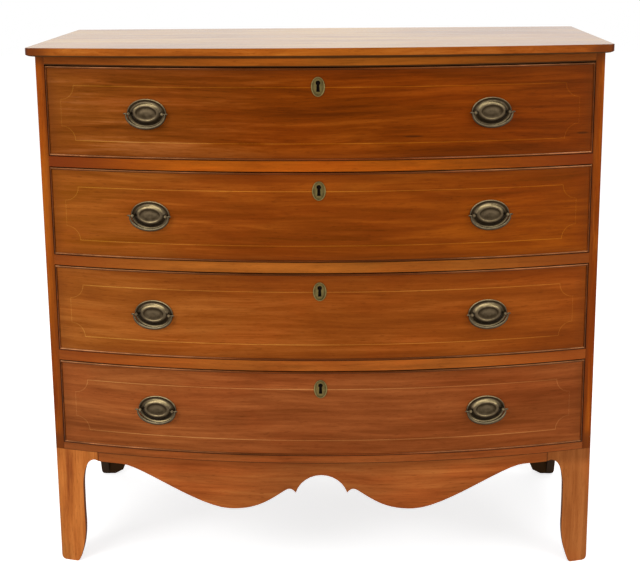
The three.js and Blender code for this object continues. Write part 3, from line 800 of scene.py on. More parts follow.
class Workshop:
    """Mesh work that all the pieces share."""

    @staticmethod
    def circle(count: int, start: float = 0.0) -> list[Point]:
        """Points on a circle of radius 1, anticlockwise.

        Args:
            count: Number of points.
            start: Angle of the first one.

        Returns:
            Their cosines and sines.
        """
        angles = [start + 2 * math.pi * number / count for number in range(count)]
        return [(math.cos(angle), math.sin(angle)) for angle in angles]

    @staticmethod
    def turn_out(mesh: bmesh.types.BMesh) -> None:
        """Turns every face of a mesh outwards."""
        bmesh.ops.recalc_face_normals(mesh, faces=mesh.faces)
        mesh.normal_update()

    @staticmethod
    def mark_points(mesh: bmesh.types.BMesh, name: str, marks: Iterable[float]) -> None:
        """Marks the points of a mesh.

        Args:
            mesh: The mesh.
            name: Name of the mark.
            marks: The mark of each point, kept between 0 and 1.
        """
        layer = mesh.verts.layers.float.new(name)
        for vert, mark in zip(mesh.verts, marks):
            vert[layer] = clamped(mark)

    @staticmethod
    def loft(rings: list[list[Vector]], looped: bool = False) -> bmesh.types.BMesh:
        """Joins closed rings of equal count, one after the other.

        Args:
            rings: The rings, each a closed run of points.
            looped: The last ring joins the first; otherwise both are filled.

        Returns:
            The mesh.
        """
        mesh = bmesh.new()
        rows = [[mesh.verts.new(point) for point in ring] for ring in rings]
        count = len(rows[0])
        pairs = list(zip(rows, rows[1:])) + ([(rows[-1], rows[0])] if looped else [])
        for low, high in pairs:
            for k in range(count):
                after = (k + 1) % count
                mesh.faces.new((low[k], low[after], high[after], high[k]))
        if not looped:
            mesh.faces.new(list(reversed(rows[0])))
            mesh.faces.new(rows[-1])
        return mesh

    @staticmethod
    def ease_edges(mesh: bmesh.types.BMesh, width: float, segments: int = 2) -> None:
        """Rounds the sharp edges of a mesh and marks what it adds as wear.

        Args:
            mesh: The mesh.
            width: Width of the rounding.
            segments: Steps of the rounding.
        """
        wear_and_highlight = mesh.faces.layers.float.new(EDGE_MARK)
        sharp = [edge for edge in mesh.edges
                 if len(edge.link_faces) == 2 and edge.calc_face_angle(0.0) > math.radians(SHARP_TURN)]
        made = bmesh.ops.bevel(
            mesh, geom=sharp, offset=width, segments=segments,
            profile=0.5, affect="EDGES", clamp_overlap=True)
        for face in made["faces"]:
            face[wear_and_highlight] = 1.0

    @staticmethod
    def mark_faces(mesh: bmesh.types.BMesh, name: str, way: Vector, least: float,
                   amount: float = 1.0) -> None:
        """Marks the faces that look one way.

        Args:
            mesh: The mesh, with its normals outwards.
            name: Name of the mark.
            way: The way they look.
            least: How squarely they must look that way, as a cosine.
            amount: The mark that they get.
        """
        layer = mesh.faces.layers.float.get(name) or mesh.faces.layers.float.new(name)
        mesh.normal_update()
        for face in mesh.faces:
            face[layer] = amount if face.normal.dot(way) > least else face[layer]

    @staticmethod
    def mark_cuts(mesh: bmesh.types.BMesh) -> None:
        """Marks the sawn faces of an upright board, which look neither forwards nor backwards, for painted
        shade.

        Args:
            mesh: The mesh of the board.
        """
        layer = mesh.faces.layers.float.new(PAINTED_SHADE_MARK)
        mesh.normal_update()
        for face in mesh.faces:
            outer = abs(face.calc_center_median().x) > CASE_BOW.half - 0.001
            face[layer] = 1.0 if abs(face.normal.y) < SAWN_TURN and not outer else 0.0

    @staticmethod
    def columns(mesh: bmesh.types.BMesh, low: float, high: float, step: float = 0.016) -> None:
        """Cuts a mesh into upright columns, so that it can follow a bow.

        Args:
            mesh: The mesh.
            low: Where the first column starts.
            high: Where the last column ends.
            step: Width of a column.
        """
        count = max(1, round((high - low) / step))
        for number in range(1, count):
            across = low + (high - low) * number / count
            bmesh.ops.bisect_plane(
                mesh, geom=[*mesh.verts, *mesh.edges, *mesh.faces], dist=1e-6,
                plane_co=(across, 0, 0), plane_no=(1, 0, 0))

    @staticmethod
    def copied(node: str) -> bmesh.types.BMesh:
        """A node's own mesh with its corners joined up.

        Args:
            node: The node's name.

        Returns:
            The mesh.
        """
        mesh = bmesh.new()
        mesh.from_mesh(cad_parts[node].data)
        bmesh.ops.remove_doubles(mesh, verts=mesh.verts, dist=5e-6)
        return mesh

    @staticmethod
    def carved(mesh: bmesh.types.BMesh, outline: list[Point]) -> bmesh.types.BMesh:
        """Cuts an upright outline through the front half of a drawer's front.

        Args:
            mesh: The mesh, which is used up.
            outline: The outline, across and up, anticlockwise.

        Returns:
            The mesh with the cut.
        """
        cutter = Workshop.loft([[Vector((x, y, z)) for x, z in outline] for y in CARVED_DEPTHS])
        Workshop.turn_out(cutter)
        made = []
        for name, source in (("carved_board", mesh), ("carving_tool", cutter)):
            data = bpy.data.meshes.new(name)
            source.to_mesh(data)
            source.free()
            made.append(stand(name, data))
        cut = made[0].modifiers.new("cut", "BOOLEAN")
        cut.operation = "DIFFERENCE"
        cut.solver = "EXACT"
        cut.object = made[1]
        bpy.context.view_layer.update()
        whole = bmesh.new()
        whole.from_mesh(made[0].evaluated_get(bpy.context.evaluated_depsgraph_get()).data)
        for shown in made:
            data = shown.data
            bpy.data.objects.remove(shown)
            bpy.data.meshes.remove(data)
        return whole

    @staticmethod
    def softened(node: str, edge: float, bow: Optional[Bow] = None,
                 carve: Optional[list[Point]] = None) -> bmesh.types.BMesh:
        """A node's mesh on its true bow and with eased edges.

        Args:
            node: The node's name.
            edge: Width of the rounding of its edges.
            bow: The bow that its front follows, where it has one.
            carve: Outline of a cut through its front half, where it needs one.

        Returns:
            The mesh.
        """
        mesh = Workshop.copied(node)
        if carve:
            mesh = Workshop.carved(mesh, carve)
        if bow:
            low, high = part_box(node)
            Workshop.columns(mesh, low.x, high.x)
            bow.ease(mesh, 0.0)
        bmesh.ops.dissolve_limit(
            mesh, angle_limit=math.radians(FLAT_TURN), verts=mesh.verts, edges=mesh.edges, delimit=set())
        Workshop.ease_edges(mesh, edge)
        return mesh

    @staticmethod
    def mitres(path: list[Point]) -> list[Point]:
        """Outward mitre of each corner of a closed path that runs anticlockwise.

        Args:
            path: The corners, across and up.

        Returns:
            For each corner, the move that shifts both of its edges outwards by one.
        """
        moves = []
        for number, (x, z) in enumerate(path):
            before = path[number - 1]
            after = path[(number + 1) % len(path)]
            first = Vector((z - before[1], before[0] - x)).normalized()
            second = Vector((after[1] - z, x - after[0])).normalized()
            both = (first + second) / (1 + first.dot(second))
            moves.append((both.x, both.y))
        return moves

    @staticmethod
    def round_the_face(path: list[Point], profile: list[Point], bow: Bow,
                       looped: bool = True) -> bmesh.types.BMesh:
        """Runs a moulding round a path on a bowed face.

        Args:
            path: The path, across and up, anticlockwise.
            profile: The moulding's section: outwards from the path, and proud of the face.
            bow: The bow of the face.
            looped: The end of the path joins its start.

        Returns:
            The mesh.
        """
        rings = []
        for (x, z), (mitre_x, mitre_z) in zip(path, Workshop.mitres(path)):
            ring = []
            for out, proud in profile:
                across = x + mitre_x * out
                ring.append(Vector((across, bow.face(across) - proud, z + mitre_z * out)))
            rings.append(ring)
        return Workshop.loft(rings, looped)

    @staticmethod
    def run(start: Point, end: Point, step: float) -> list[Point]:
        """Points along a straight line, without its end.

        Args:
            start: Where it starts.
            end: Where it ends.
            step: About how far apart the points are.

        Returns:
            The points.
        """
        count = max(1, round(math.dist(start, end) / step))
        return [(start[0] + (end[0] - start[0]) * n / count, start[1] + (end[1] - start[1]) * n / count)
                for n in range(count)]

    @staticmethod
    def curves(points: list[Point], steps: int) -> list[Point]:
        """Points along joined cubic curves, three points for each after the first.

        Args:
            points: The first point, then two handles and an end for each curve.
            steps: Steps of each curve.

        Returns:
            The points, with both ends.
        """
        line = [points[0]]
        for first in range(0, len(points) - 3, 3):
            a, b, c, d = points[first:first + 4]
            for number in range(1, steps + 1):
                t = number / steps
                weights = ((1 - t) ** 3, 3 * t * (1 - t) ** 2, 3 * t * t * (1 - t), t ** 3)
                line.append(tuple(sum(w * p[k] for w, p in zip(weights, (a, b, c, d))) for k in range(2)))
        return line

    @staticmethod
    def turned(profile: list[Point], count: int) -> bmesh.types.BMesh:
        """A turned piece that rises along its own -Y.

        Args:
            profile: Radius and rise of each ring, from the back to the front.
            count: Points of each ring.

        Returns:
            The mesh.
        """
        circle = Workshop.circle(count)
        return Workshop.loft([[Vector((radius * x, -rise, radius * z)) for x, z in circle]
                              for radius, rise in profile])

    @staticmethod
    def bar(path: list[Vector], radii: list[float], count: int) -> bmesh.types.BMesh:
        """A round bar along a path in its own X and Z, with closed ends.

        Args:
            path: Middle line of the bar.
            radii: Radius at each point of it.
            count: Points round the bar.

        Returns:
            The mesh.
        """
        rings = []
        for number, (middle, radius) in enumerate(zip(path, radii)):
            before = path[max(0, number - 1)]
            after = path[min(len(path) - 1, number + 1)]
            along = (after - before).normalized()
            outwards = Vector((along.z, 0, -along.x))
            rings.append([middle + outwards * radius * out + Vector((0, radius * side, 0))
                          for out, side in Workshop.circle(count)])
        return Workshop.loft(rings)

    @staticmethod
    def joined(meshes: list[bmesh.types.BMesh]) -> bmesh.types.BMesh:
        """Puts several meshes into one.

        Args:
            meshes: The meshes, which are used up.

        Returns:
            The one mesh.
        """
        whole = meshes[0]
        for mesh in meshes[1:]:
            spare = bpy.data.meshes.new("spare")
            mesh.to_mesh(spare)
            mesh.free()
            whole.from_mesh(spare)
            bpy.data.meshes.remove(spare)
        return whole


@dataclass
class Piece:
    """One dressed piece on its way into the scene."""

    name: str
    mesh: bmesh.types.BMesh
    finish: Finish
    body: str
    slot: str
    stands_for: tuple[str, ...] = ()
    crease: float = 38.0
    even: bool = True

    def place(self, palette: Palette) -> None:
        """Turns the mesh into an object that rides on its body.

        Args:
            palette: Where its material comes from.
        """
        Workshop.turn_out(self.mesh)
        data = bpy.data.meshes.new(self.name)
        self.mesh.to_mesh(data)
        self.mesh.free()
        data.materials.append(palette.dress(self.finish))
        data.shade_smooth()
        data.set_sharp_from_angle(angle=math.radians(self.crease))
        shown = stand(self.name, data)
        if self.even:
            flat = shown.modifiers.new("even_faces", "WEIGHTED_NORMAL")
            flat.keep_sharp = True
        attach(shown, self.body)
        if self.stands_for:
            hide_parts(*self.stands_for)
        LOG.info("%s: %d faces on %s", self.name, len(data.polygons), self.body)


@dataclass
class Base:
    """Shaped apron and the two front bracket feet, cut from one bowed board."""

    palette: Palette
    case_half: float = 0.5
    height: float = 0.225
    foot_width: float = 0.084
    thickness: float = 0.018
    toe_round: float = 0.009
    toe_handle: float = 0.4
    toe_steps: int = 4
    skirt_share: float = 0.922
    arch_top_share: float = 0.897
    curve_steps: int = 12
    column: float = 0.012
    edge: float = 0.0009
    # Inner edge of a foot: shares of its width, from its outer edge, and of the height.
    foot_curve: tuple[Point, ...] = (
        (0.36, 0), (0.4, 0), (0.438, 0.013), (0.464, 0.042), (0.515, 0.1), (0.611, 0.19), (0.61, 0.36),
        (0.6, 0.45), (0.602, 0.6), (0.607, 0.69), (0.613, 0.79), (0.69, 0.93), (0.905, 0.932))
    # Lobe and cusp: shares of half the apron's width, from its middle, and of the height.
    lobe_curve: tuple[Point, ...] = (
        (0.895, 0.92), (0.798, 0.92), (0.545, 0.593), (0.405, 0.593), (0.29, 0.593),
        (0.235, 0.668), (0.165, 0.757), (0.15, 0.776), (0.133, 0.795), (0.113, 0.745))

    def board(self, outline: list[Point]) -> bmesh.types.BMesh:
        """Cuts an outline out of the bowed board.

        Args:
            outline: The outline, across and up.

        Returns:
            The mesh.
        """
        mesh = bmesh.new()
        mesh.faces.new([mesh.verts.new((x, 0, z)) for x, z in outline])
        across = [x for x, _ in outline]
        Workshop.columns(mesh, min(across), max(across), self.column)
        grown = bmesh.ops.extrude_face_region(mesh, geom=list(mesh.faces))
        rear = {item for item in grown["geom"] if isinstance(item, bmesh.types.BMVert)}
        for vert in mesh.verts:
            vert.co.y = CASE_BOW.face(vert.co.x, self.thickness if vert in rear else 0.0)
        Workshop.turn_out(mesh)
        Workshop.ease_edges(mesh, self.edge)
        Workshop.mark_cuts(mesh)
        return mesh

    def apron_outline(self) -> list[Point]:
        """Outline of the apron.

        Returns:
            The outline, anticlockwise from its upper right corner.
        """
        half = self.case_half - self.foot_width
        right = [(across * half, up * self.height) for across, up in self.lobe_curve]
        lobe = Workshop.curves(right, self.curve_steps)
        cusp_x, cusp_z = right[-1]
        rise = self.height * self.arch_top_share - cusp_z
        radius = (cusp_x ** 2 + rise ** 2) / (2 * rise)
        turn = math.asin(cusp_x / radius)
        arch = []
        for step in range(1, self.curve_steps):
            angle = turn - 2 * turn * step / self.curve_steps
            arch.append((radius * math.sin(angle), cusp_z + rise - radius + radius * math.cos(angle)))
        skirt = self.height * self.skirt_share
        left = [(-x, z) for x, z in reversed(lobe)]
        return [(half, self.height), (half, skirt), *lobe, *arch, *left, (-half, skirt), (-half, self.height)]

    def foot_outline(self, hand: int) -> list[Point]:
        """Outline of a front foot.

        Args:
            hand: 1 for the right foot, -1 for the left one.

        Returns:
            The outline.
        """
        half = self.case_half
        curve = Workshop.curves(
            [(half - across * self.foot_width, up * self.height) for across, up in self.foot_curve],
            self.curve_steps)
        toe = Workshop.curves(
            [(half, self.toe_round), (half, self.toe_round * self.toe_handle),
             (half - self.toe_round * self.toe_handle, 0), (half - self.toe_round, 0)], self.toe_steps)
        seam = half - self.foot_width
        skirt = self.height * self.skirt_share
        line = [*curve, (seam, skirt), (seam, self.height), (half, self.height), *toe]
        return [(hand * x, z) for x, z in line]

    def build(self) -> None:
        """Builds the apron and the feet."""
        apron = WoodFinish(
            "cherry_apron", Grain.ALONG_X, 41.3, paint(126, 62, 24), paint(156, 83, 36), paint(180, 106, 50),
            curl=0.2, streak=0.25, middle_tint_and_light=(0.74, 0.74, 0.8), grime_and_shade=paint(84, 38, 14),
            dark_rim=(9.0, 0.0, 0.226, 0.5), shadow_levels=(-1.0, 0.2238), bent=CASE_BOW.bend)
        Piece("apron_board", self.board(self.apron_outline()), apron,
              "carcass", "cherry_case", ("front_apron",)).place(self.palette)
        feet = (
            # The left foot gets a lighter copy of the wood and a lighter top than the right one, partly
            # painted light from the lamp on the left.
            ("left", -1, 52.1, paint(176, 104, 45), paint(208, 134, 66), 0.1),
            ("right", 1, 67.9, paint(156, 88, 40), paint(180, 108, 54), 0.45))
        for side, hand, seed, warm, bright, rim in feet:
            foot = WoodFinish(
                f"cherry_foot_{side}", Grain.ALONG_Z, seed, paint(136, 70, 28), warm, bright,
                curl=0.15, streak=0.3, grime_and_shade=paint(84, 38, 14), dark_ends=(0.5, 0.006, 0.2),
                dark_rim=(9.0, -0.5, 0.213, rim), dark_inner=(0.4172, 0.0016, 0.85),
                shadow_levels=(-1.0, 0.2242), bent=CASE_BOW.bend)
            Piece(f"foot_{side}_board", self.board(self.foot_outline(hand)), foot,
                  "carcass", "cherry_case", (f"front_foot_{side}",)).place(self.palette)


@dataclass
class Case:
    """Case of the chest: top, sides, back, rails and bottom."""

    palette: Palette
    top_half: float = 0.509
    top_rear: float = 0.278
    top_low: float = 0.956
    top_high: float = 0.971
    top_stations: int = 80
    top_round: float = 0.0036
    top_round_steps: int = 5
    top_nose: float = 0.009
    top_nose_steps: int = 6
    top_nose_fall: float = 0.75
    top_lift: float = 0.0034
    top_lift_reach: float = 0.018
    back_gap: float = 0.0005
    back_edge: float = 0.0014
    # Share of the back's height and tone of each board, from the lowest up.
    back_boards: tuple[Point, ...] = ((0.3, 0.7), (0.23, 0.0), (0.27, 1.0), (0.2, 0.35))
    edge: float = 0.0008

    def top(self) -> bmesh.types.BMesh:
        """Top board with its shallow bow and its rounded edges.

        Returns:
            The mesh.
        """
        count = self.top_stations
        flat = self.top_half - self.top_nose
        stations = [flat * (2 * number / count - 1) for number in range(count + 1)]
        steps = self.top_nose_steps
        turns = [math.radians(90 * number / steps) for number in range(1, steps + 1)]
        nose = [flat + self.top_nose * math.sin(turn) for turn in turns]
        rings = []
        for x in [*(-end for end in reversed(nose)), *stations, *nose]:
            past = max(0.0, abs(x) - flat) / self.top_nose
            back = self.top_nose * (1 - math.sqrt(max(0.0, 1 - past ** 2))) * self.top_nose_fall
            front = TOP_BOW.face(x) + back
            rising = max(0.0, abs(x) - self.top_half + self.top_lift_reach) / self.top_lift_reach
            low = self.top_low + self.top_lift * rising ** 2
            rings.append([
                Vector((x, front, low)), Vector((x, front, self.top_high)),
                Vector((x, self.top_rear, self.top_high)), Vector((x, self.top_rear, self.top_low))])
        mesh = Workshop.loft(rings)
        Workshop.turn_out(mesh)
        Workshop.ease_edges(mesh, self.top_round, self.top_round_steps)
        return mesh

    def build(self) -> None:
        """Builds the case."""
        self.build_top()
        self.build_sides()
        self.build_rails()
        self.build_back()

    def build_top(self) -> None:
        """Builds the top board."""
        # The top's front edge is painted darker toward both ends and along its lower edge as painted shade,
        # and its tints across are partly painted light.
        finish = WoodFinish(
            "cherry_top", Grain.ALONG_X, 11.7, paint(122, 58, 14), paint(152, 79, 22), paint(176, 102, 38),
            curl=0.15, streak=0.3, flecks=0.4, gloss=0.3, shine=0.3, coat=0.51, relief=0.1,
            tone_and_highlight=(1.2, 2.15, 1.0), edge_wear=1.2, edge_tone=(0.5, 0.4, 0.35), shadow_levels=(0.959, 9.0),
            blush=0.25, middle_tint_and_light=(1.15, 1.22, 1.1), right_tint_and_light=(0.86, 0.78, 0.8),
            grime_and_shade=paint(84, 31, 12), dark_ends=(0.488, 0.034, 0.82))
        mesh = self.top()
        upwards = Vector((0, 0, 1))
        Workshop.mark_faces(mesh, FACE_MARK, upwards, 0.97)
        # Painted shade on the top's ends, its underside and its rounded upper edge; the flat top stays clear.
        for way, least, amount in (
                (Vector((1, 0, 0)), 0.5, 0.5), (Vector((-1, 0, 0)), 0.5, 0.55), (upwards, 0.3, 0.75),
                (-upwards, 0.3, 0.9), (upwards, 0.97, 0.0)):
            Workshop.mark_faces(mesh, PAINTED_SHADE_MARK, way, least, amount)
        Piece("top_board_polished", mesh, finish,
              "carcass", "cherry_top", ("top_board",)).place(self.palette)

    def build_sides(self) -> None:
        """Builds the two sides, which run down to the floor."""
        # The left side gets a lighter copy of the wood than the right one, partly painted light from the lamp
        # on the left; both are painted with shade inside the case, along their inner edges, under the top and
        # near the floor.
        for side, seed, warm in (("left", 21.9, paint(144, 69, 10)), ("right", 33.4, paint(124, 50, 2))):
            finish = WoodFinish(
                f"cherry_side_{side}", Grain.ALONG_Z, seed, paint(106, 42, 3), warm,
                paint(166, 86, 18), curl=0.25, streak=0.3, dark_inner=(0.4835, 0.009, 0.55),
                dark_rim=(9.0, 0.242, 0.952, 0.7), dark_inside=(0.4996, 0.15, 0.2685, 0.215))
            node = f"side_{side}"
            Piece(f"{node}_board", Workshop.softened(node, self.edge), finish,
                  "carcass", "cherry_case", (node,)).place(self.palette)

    def build_rails(self) -> None:
        """Builds the rails between the drawers, the top rail and the bottom board."""
        levels = (
            ("top_rail", 3.1, 0.5, paint(146, 79, 22), (0.9418, 0.9525)),
            ("divider_1", 5.7, 0.95, paint(154, 75, 12), (-1.0, 9.0)),
            ("divider_2", 8.2, 0.65, paint(145, 80, 26), (-1.0, 9.0)),
            ("divider_3", 13.6, 0.5, paint(150, 80, 28), (-1.0, 9.0)),
            ("bottom_board", 17.9, 0.0, paint(130, 67, 29), (0.2262, 9.0)))
        # The rails' ends are painted darker as painted shade where the bow turns from the light; the top rail
        # carries painted shadow under the top and above the first drawer, and the bottom board a dark seam
        # line.
        for node, seed, ends, warm, shadows in levels:
            deep = tuple(channel * 0.6 for channel in warm)
            bright = tuple(channel * 1.4 for channel in warm)
            finish = WoodFinish(
                f"cherry_{node}", Grain.ALONG_X, seed, deep, warm, bright, curl=0.3, streak=0.35,
                grime_and_shade=paint(108, 40, 12), dark_ends=(0.49, 0.3, ends), shadow_levels=shadows,
                bent=CASE_BOW.bend)
            Piece(f"{node}_board", Workshop.softened(node, self.edge, CASE_BOW), finish,
                  "carcass", "cherry_case", (node,)).place(self.palette)

    def build_back(self) -> None:
        """Builds the boarded back."""
        finish = WoodFinish(
            "back_boards", Grain.ALONG_X, 71.3, paint(122, 88, 52), paint(152, 114, 72), paint(180, 144, 98),
            curl=0.15, blush=0.15, streak=0.4, gloss=0.7, shine=0.2, relief=0.4, grime_and_shade=paint(86, 60, 38),
            dark_ends=(0.49, 0.05, 0.3), tone_and_highlight=(0.72, 0.68, 0.64))
        low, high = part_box("back_panel")
        boards = []
        start = low.z
        for share, tone in self.back_boards:
            end = start + (high.z - low.z) * share
            upper = end - self.back_gap
            corners = [(low.y, start), (high.y, start), (high.y, upper), (low.y, upper)]
            board = Workshop.loft([[Vector((x, y, z)) for y, z in corners] for x in (low.x, high.x)])
            Workshop.turn_out(board)
            Workshop.ease_edges(board, self.back_edge)
            Workshop.mark_faces(board, FACE_MARK, Vector((0, 1, 0)), -2.0, tone)
            boards.append(board)
            start = end
        Piece("back_panel_boards", Workshop.joined(boards), finish,
              "carcass", "poplar", ("back_panel",)).place(self.palette)


@dataclass
class Pull:
    """Oval plate with two ball posts, and the bail that swings in them."""

    palette: Palette
    drawer: str
    side: str
    centre_z: float
    place_x: float = 0.2985
    seat: float = 0.0003
    plate_half_width: float = 0.036
    plate_half_height: float = 0.0255
    plate_points: int = 80
    post_half: float = 0.0305
    post_rise: float = 0.0085
    post_points: int = 24
    # Where hand wear on a post starts, and where it is brightest.
    post_rub: Point = (0.006, 0.016)
    bail_half: float = 0.0353
    bail_drop: float = 0.0246
    bail_bend: float = 0.0022
    bend_start: float = 1.3
    bend_steps: int = 6
    bail_steps: int = 48
    bail_reach: float = 0.0409
    pin_radius: float = 0.0012
    bail_swell: float = 0.0016
    pin_grip: float = 0.0025
    bar_points: int = 14
    # How much brighter the plate's upward faces are painted, as a highlight.
    shoulder_highlight: float = 1.1
    # Shares of the plate's width and height, rise in millimetres, and how much hands rub it.
    plate_profile: tuple[tuple[float, float, float, float], ...] = (
        (0.99, 0.99, 0.0, 0.0), (1.0, 1.0, 0.5, 0.05), (0.994, 0.992, 1.3, 0.15),
        (0.975, 0.97, 1.9, 0.3), (0.95, 0.94, 2.1, 0.35), (0.925, 0.912, 1.8, 0.25),
        (0.905, 0.888, 1.2, 0.15), (0.88, 0.858, 0.85, 0.12), (0.83, 0.8, 0.8, 0.15),
        (0.785, 0.75, 1.0, 0.1), (0.755, 0.717, 1.7, 0.05), (0.73, 0.688, 2.8, 0.05),
        (0.7, 0.653, 3.9, 0.2), (0.66, 0.607, 4.7, 0.3), (0.61, 0.55, 5.2, 0.38),
        (0.565, 0.493, 5.35, 0.35), (0.535, 0.455, 5.15, 0.3), (0.51, 0.425, 4.7, 0.12),
        (0.49, 0.403, 4.45, 0.1), (0.45, 0.36, 4.35, 0.2), (0.38, 0.28, 4.4, 0.24),
        (0.32, 0.215, 4.55, 0.3), (0.26, 0.16, 4.75, 0.34), (0.18, 0.1, 4.85, 0.3),
        (0.1, 0.055, 4.85, 0.28), (0.02, 0.01, 4.85, 0.28))
    # Radius and rise of a post, in millimetres.
    post_profile: tuple[Point, ...] = (
        (0.6, 0.5), (3.4, 0.5), (3.4, 1.2), (3.0, 1.6), (2.3, 2.0), (2.1, 2.8), (2.1, 4.9), (2.5, 5.6),
        (3.0, 6.5), (3.3, 7.5), (3.4, 8.5), (3.3, 9.5), (3.0, 10.3), (2.4, 11.0), (1.6, 11.5), (0.8, 11.75),
        (0.1, 11.8))
    # Share of a tip's length, and its radius as a share of the pin's.
    tip_profile: tuple[Point, ...] = (
        (0.0, 0.8), (0.12, 1.0), (0.35, 1.35), (0.55, 1.4), (0.75, 0.95), (0.92, 0.4), (1.0, 0.05))

    @property
    def hand(self) -> int:
        """1 on the right and -1 on the left."""
        return 1 if self.side == "right" else -1

    @property
    def matrix(self) -> Matrix:
        """Where the pull stands, square to the bowed face.

        Returns:
            The matrix from the pull's own frame to the chest's.
        """
        turn = self.hand * math.asin(self.place_x / CASE_BOW.radius)
        spot = Vector((self.hand * self.place_x, CASE_BOW.face(self.place_x), self.centre_z))
        return Matrix.Translation(spot) @ Matrix.Rotation(turn, 4, "Z")

    def plate(self) -> bmesh.types.BMesh:
        """Oval plate with its rolled rim and its dome.

        Returns:
            The mesh.
        """
        circle = Workshop.circle(self.plate_points)
        half_x, half_z = self.plate_half_width, self.plate_half_height
        mesh = Workshop.loft([
            [Vector((half_x * wide * x, -self.seat - millimetres(rise), half_z * tall * z))
             for x, z in circle]
            for wide, tall, rise, _ in self.plate_profile])
        Workshop.turn_out(mesh)
        rubs = [rub for _, _, _, rub in self.plate_profile for _ in circle]
        # Each ring's rub from wear, plus a painted highlight on faces that look up.
        Workshop.mark_points(mesh, EDGE_MARK, [
            rub + self.shoulder_highlight * vert.normal.z for vert, rub in zip(mesh.verts, rubs)])
        return mesh

    def post(self, end: int) -> bmesh.types.BMesh:
        """One ball post.

        Args:
            end: 1 for the right one, -1 for the left one.

        Returns:
            The mesh.
        """
        profile = [(millimetres(radius), millimetres(rise)) for radius, rise in self.post_profile]
        mesh = Workshop.turned(profile, self.post_points)
        clean, rubbed_and_highlit = self.post_rub
        Workshop.mark_points(mesh, EDGE_MARK, [
            (-vert.co.y - clean) / (rubbed_and_highlit - clean) for vert in mesh.verts])
        bmesh.ops.translate(mesh, verts=mesh.verts, vec=(end * self.post_half, 0, 0))
        return mesh

    def bail_path(self) -> list[Vector]:
        """Middle line of the bail as it hangs.

        Returns:
            The points, left to right.
        """
        half, bend = self.bail_half, self.bail_bend
        pin = self.post_half - self.pin_grip
        shoulder = [(-pin, 0.0), (-half + bend * self.bend_start, 0.0)]
        for step in range(1, self.bend_steps + 1):
            angle = math.pi / 2 + math.pi / 2 * step / self.bend_steps
            shoulder.append((-half + bend + bend * math.cos(angle), -bend + bend * math.sin(angle)))
        hanging = []
        for step in range(1, self.bail_steps):
            angle = math.pi + math.pi * step / self.bail_steps
            hanging.append((half * math.cos(angle), -bend + (self.bail_drop - bend) * math.sin(angle)))
        other = [(-x, z) for x, z in reversed(shoulder)]
        return [Vector((x, 0, z)) for x, z in [*shoulder, *hanging, *other]]

    def tip(self, end: int) -> bmesh.types.BMesh:
        """Pointed tip beside a post.

        Args:
            end: 1 for the right one, -1 for the left one.

        Returns:
            The mesh.
        """
        start = self.bail_half - self.bail_bend * 0.6
        length = self.bail_reach - start
        path = [Vector((end * (start + length * share), 0, 0)) for share, _ in self.tip_profile]
        radii = [self.pin_radius * radius for _, radius in self.tip_profile]
        return Workshop.bar(path, radii, self.bar_points)

    def bail(self) -> bmesh.types.BMesh:
        """The swelling bar of the bail, with its two tips.

        Returns:
            The mesh, with its axis at the origin.
        """
        path = self.bail_path()
        radii = []
        for point in path:
            fall = clamped(-point.z / self.bail_drop)
            radii.append(self.pin_radius + self.bail_swell * math.sin(fall * math.pi / 2))
        mesh = Workshop.joined([Workshop.bar(path, radii, self.bar_points), self.tip(1), self.tip(-1)])
        Workshop.turn_out(mesh)
        # The bail is painted brighter on its upper faces as a highlight, and a little on its front.
        Workshop.mark_points(mesh, EDGE_MARK, [
            0.4 - 0.1 * vert.normal.y + 0.6 * vert.normal.z for vert in mesh.verts])
        return mesh

    def build(self) -> None:
        """Builds the plate with its posts, and the bail."""
        brass = BrassFinish("brass_plates", 3.3)
        bright = BrassFinish(
            "brass_bails", 9.1, paint(46, 37, 25), paint(72, 62, 47), paint(112, 100, 76), 0.34)
        name = f"{self.drawer}_pull_{self.side}"
        mesh = Workshop.joined([self.plate(), self.post(-1), self.post(1)])
        bmesh.ops.transform(mesh, matrix=self.matrix, verts=mesh.verts)
        Piece(f"{name}_brass", mesh, brass, self.drawer, "aged_brass",
              (name,), even=False).place(self.palette)
        swing = f"{self.drawer}_bail_{self.side}"
        bail = self.bail()
        bmesh.ops.translate(bail, verts=bail.verts, vec=(0, -self.post_rise, 0))
        bmesh.ops.transform(bail, matrix=self.matrix, verts=bail.verts)
        Piece(f"{swing}_brass", bail, bright, swing, "aged_brass",
              (swing,), even=False).place(self.palette)


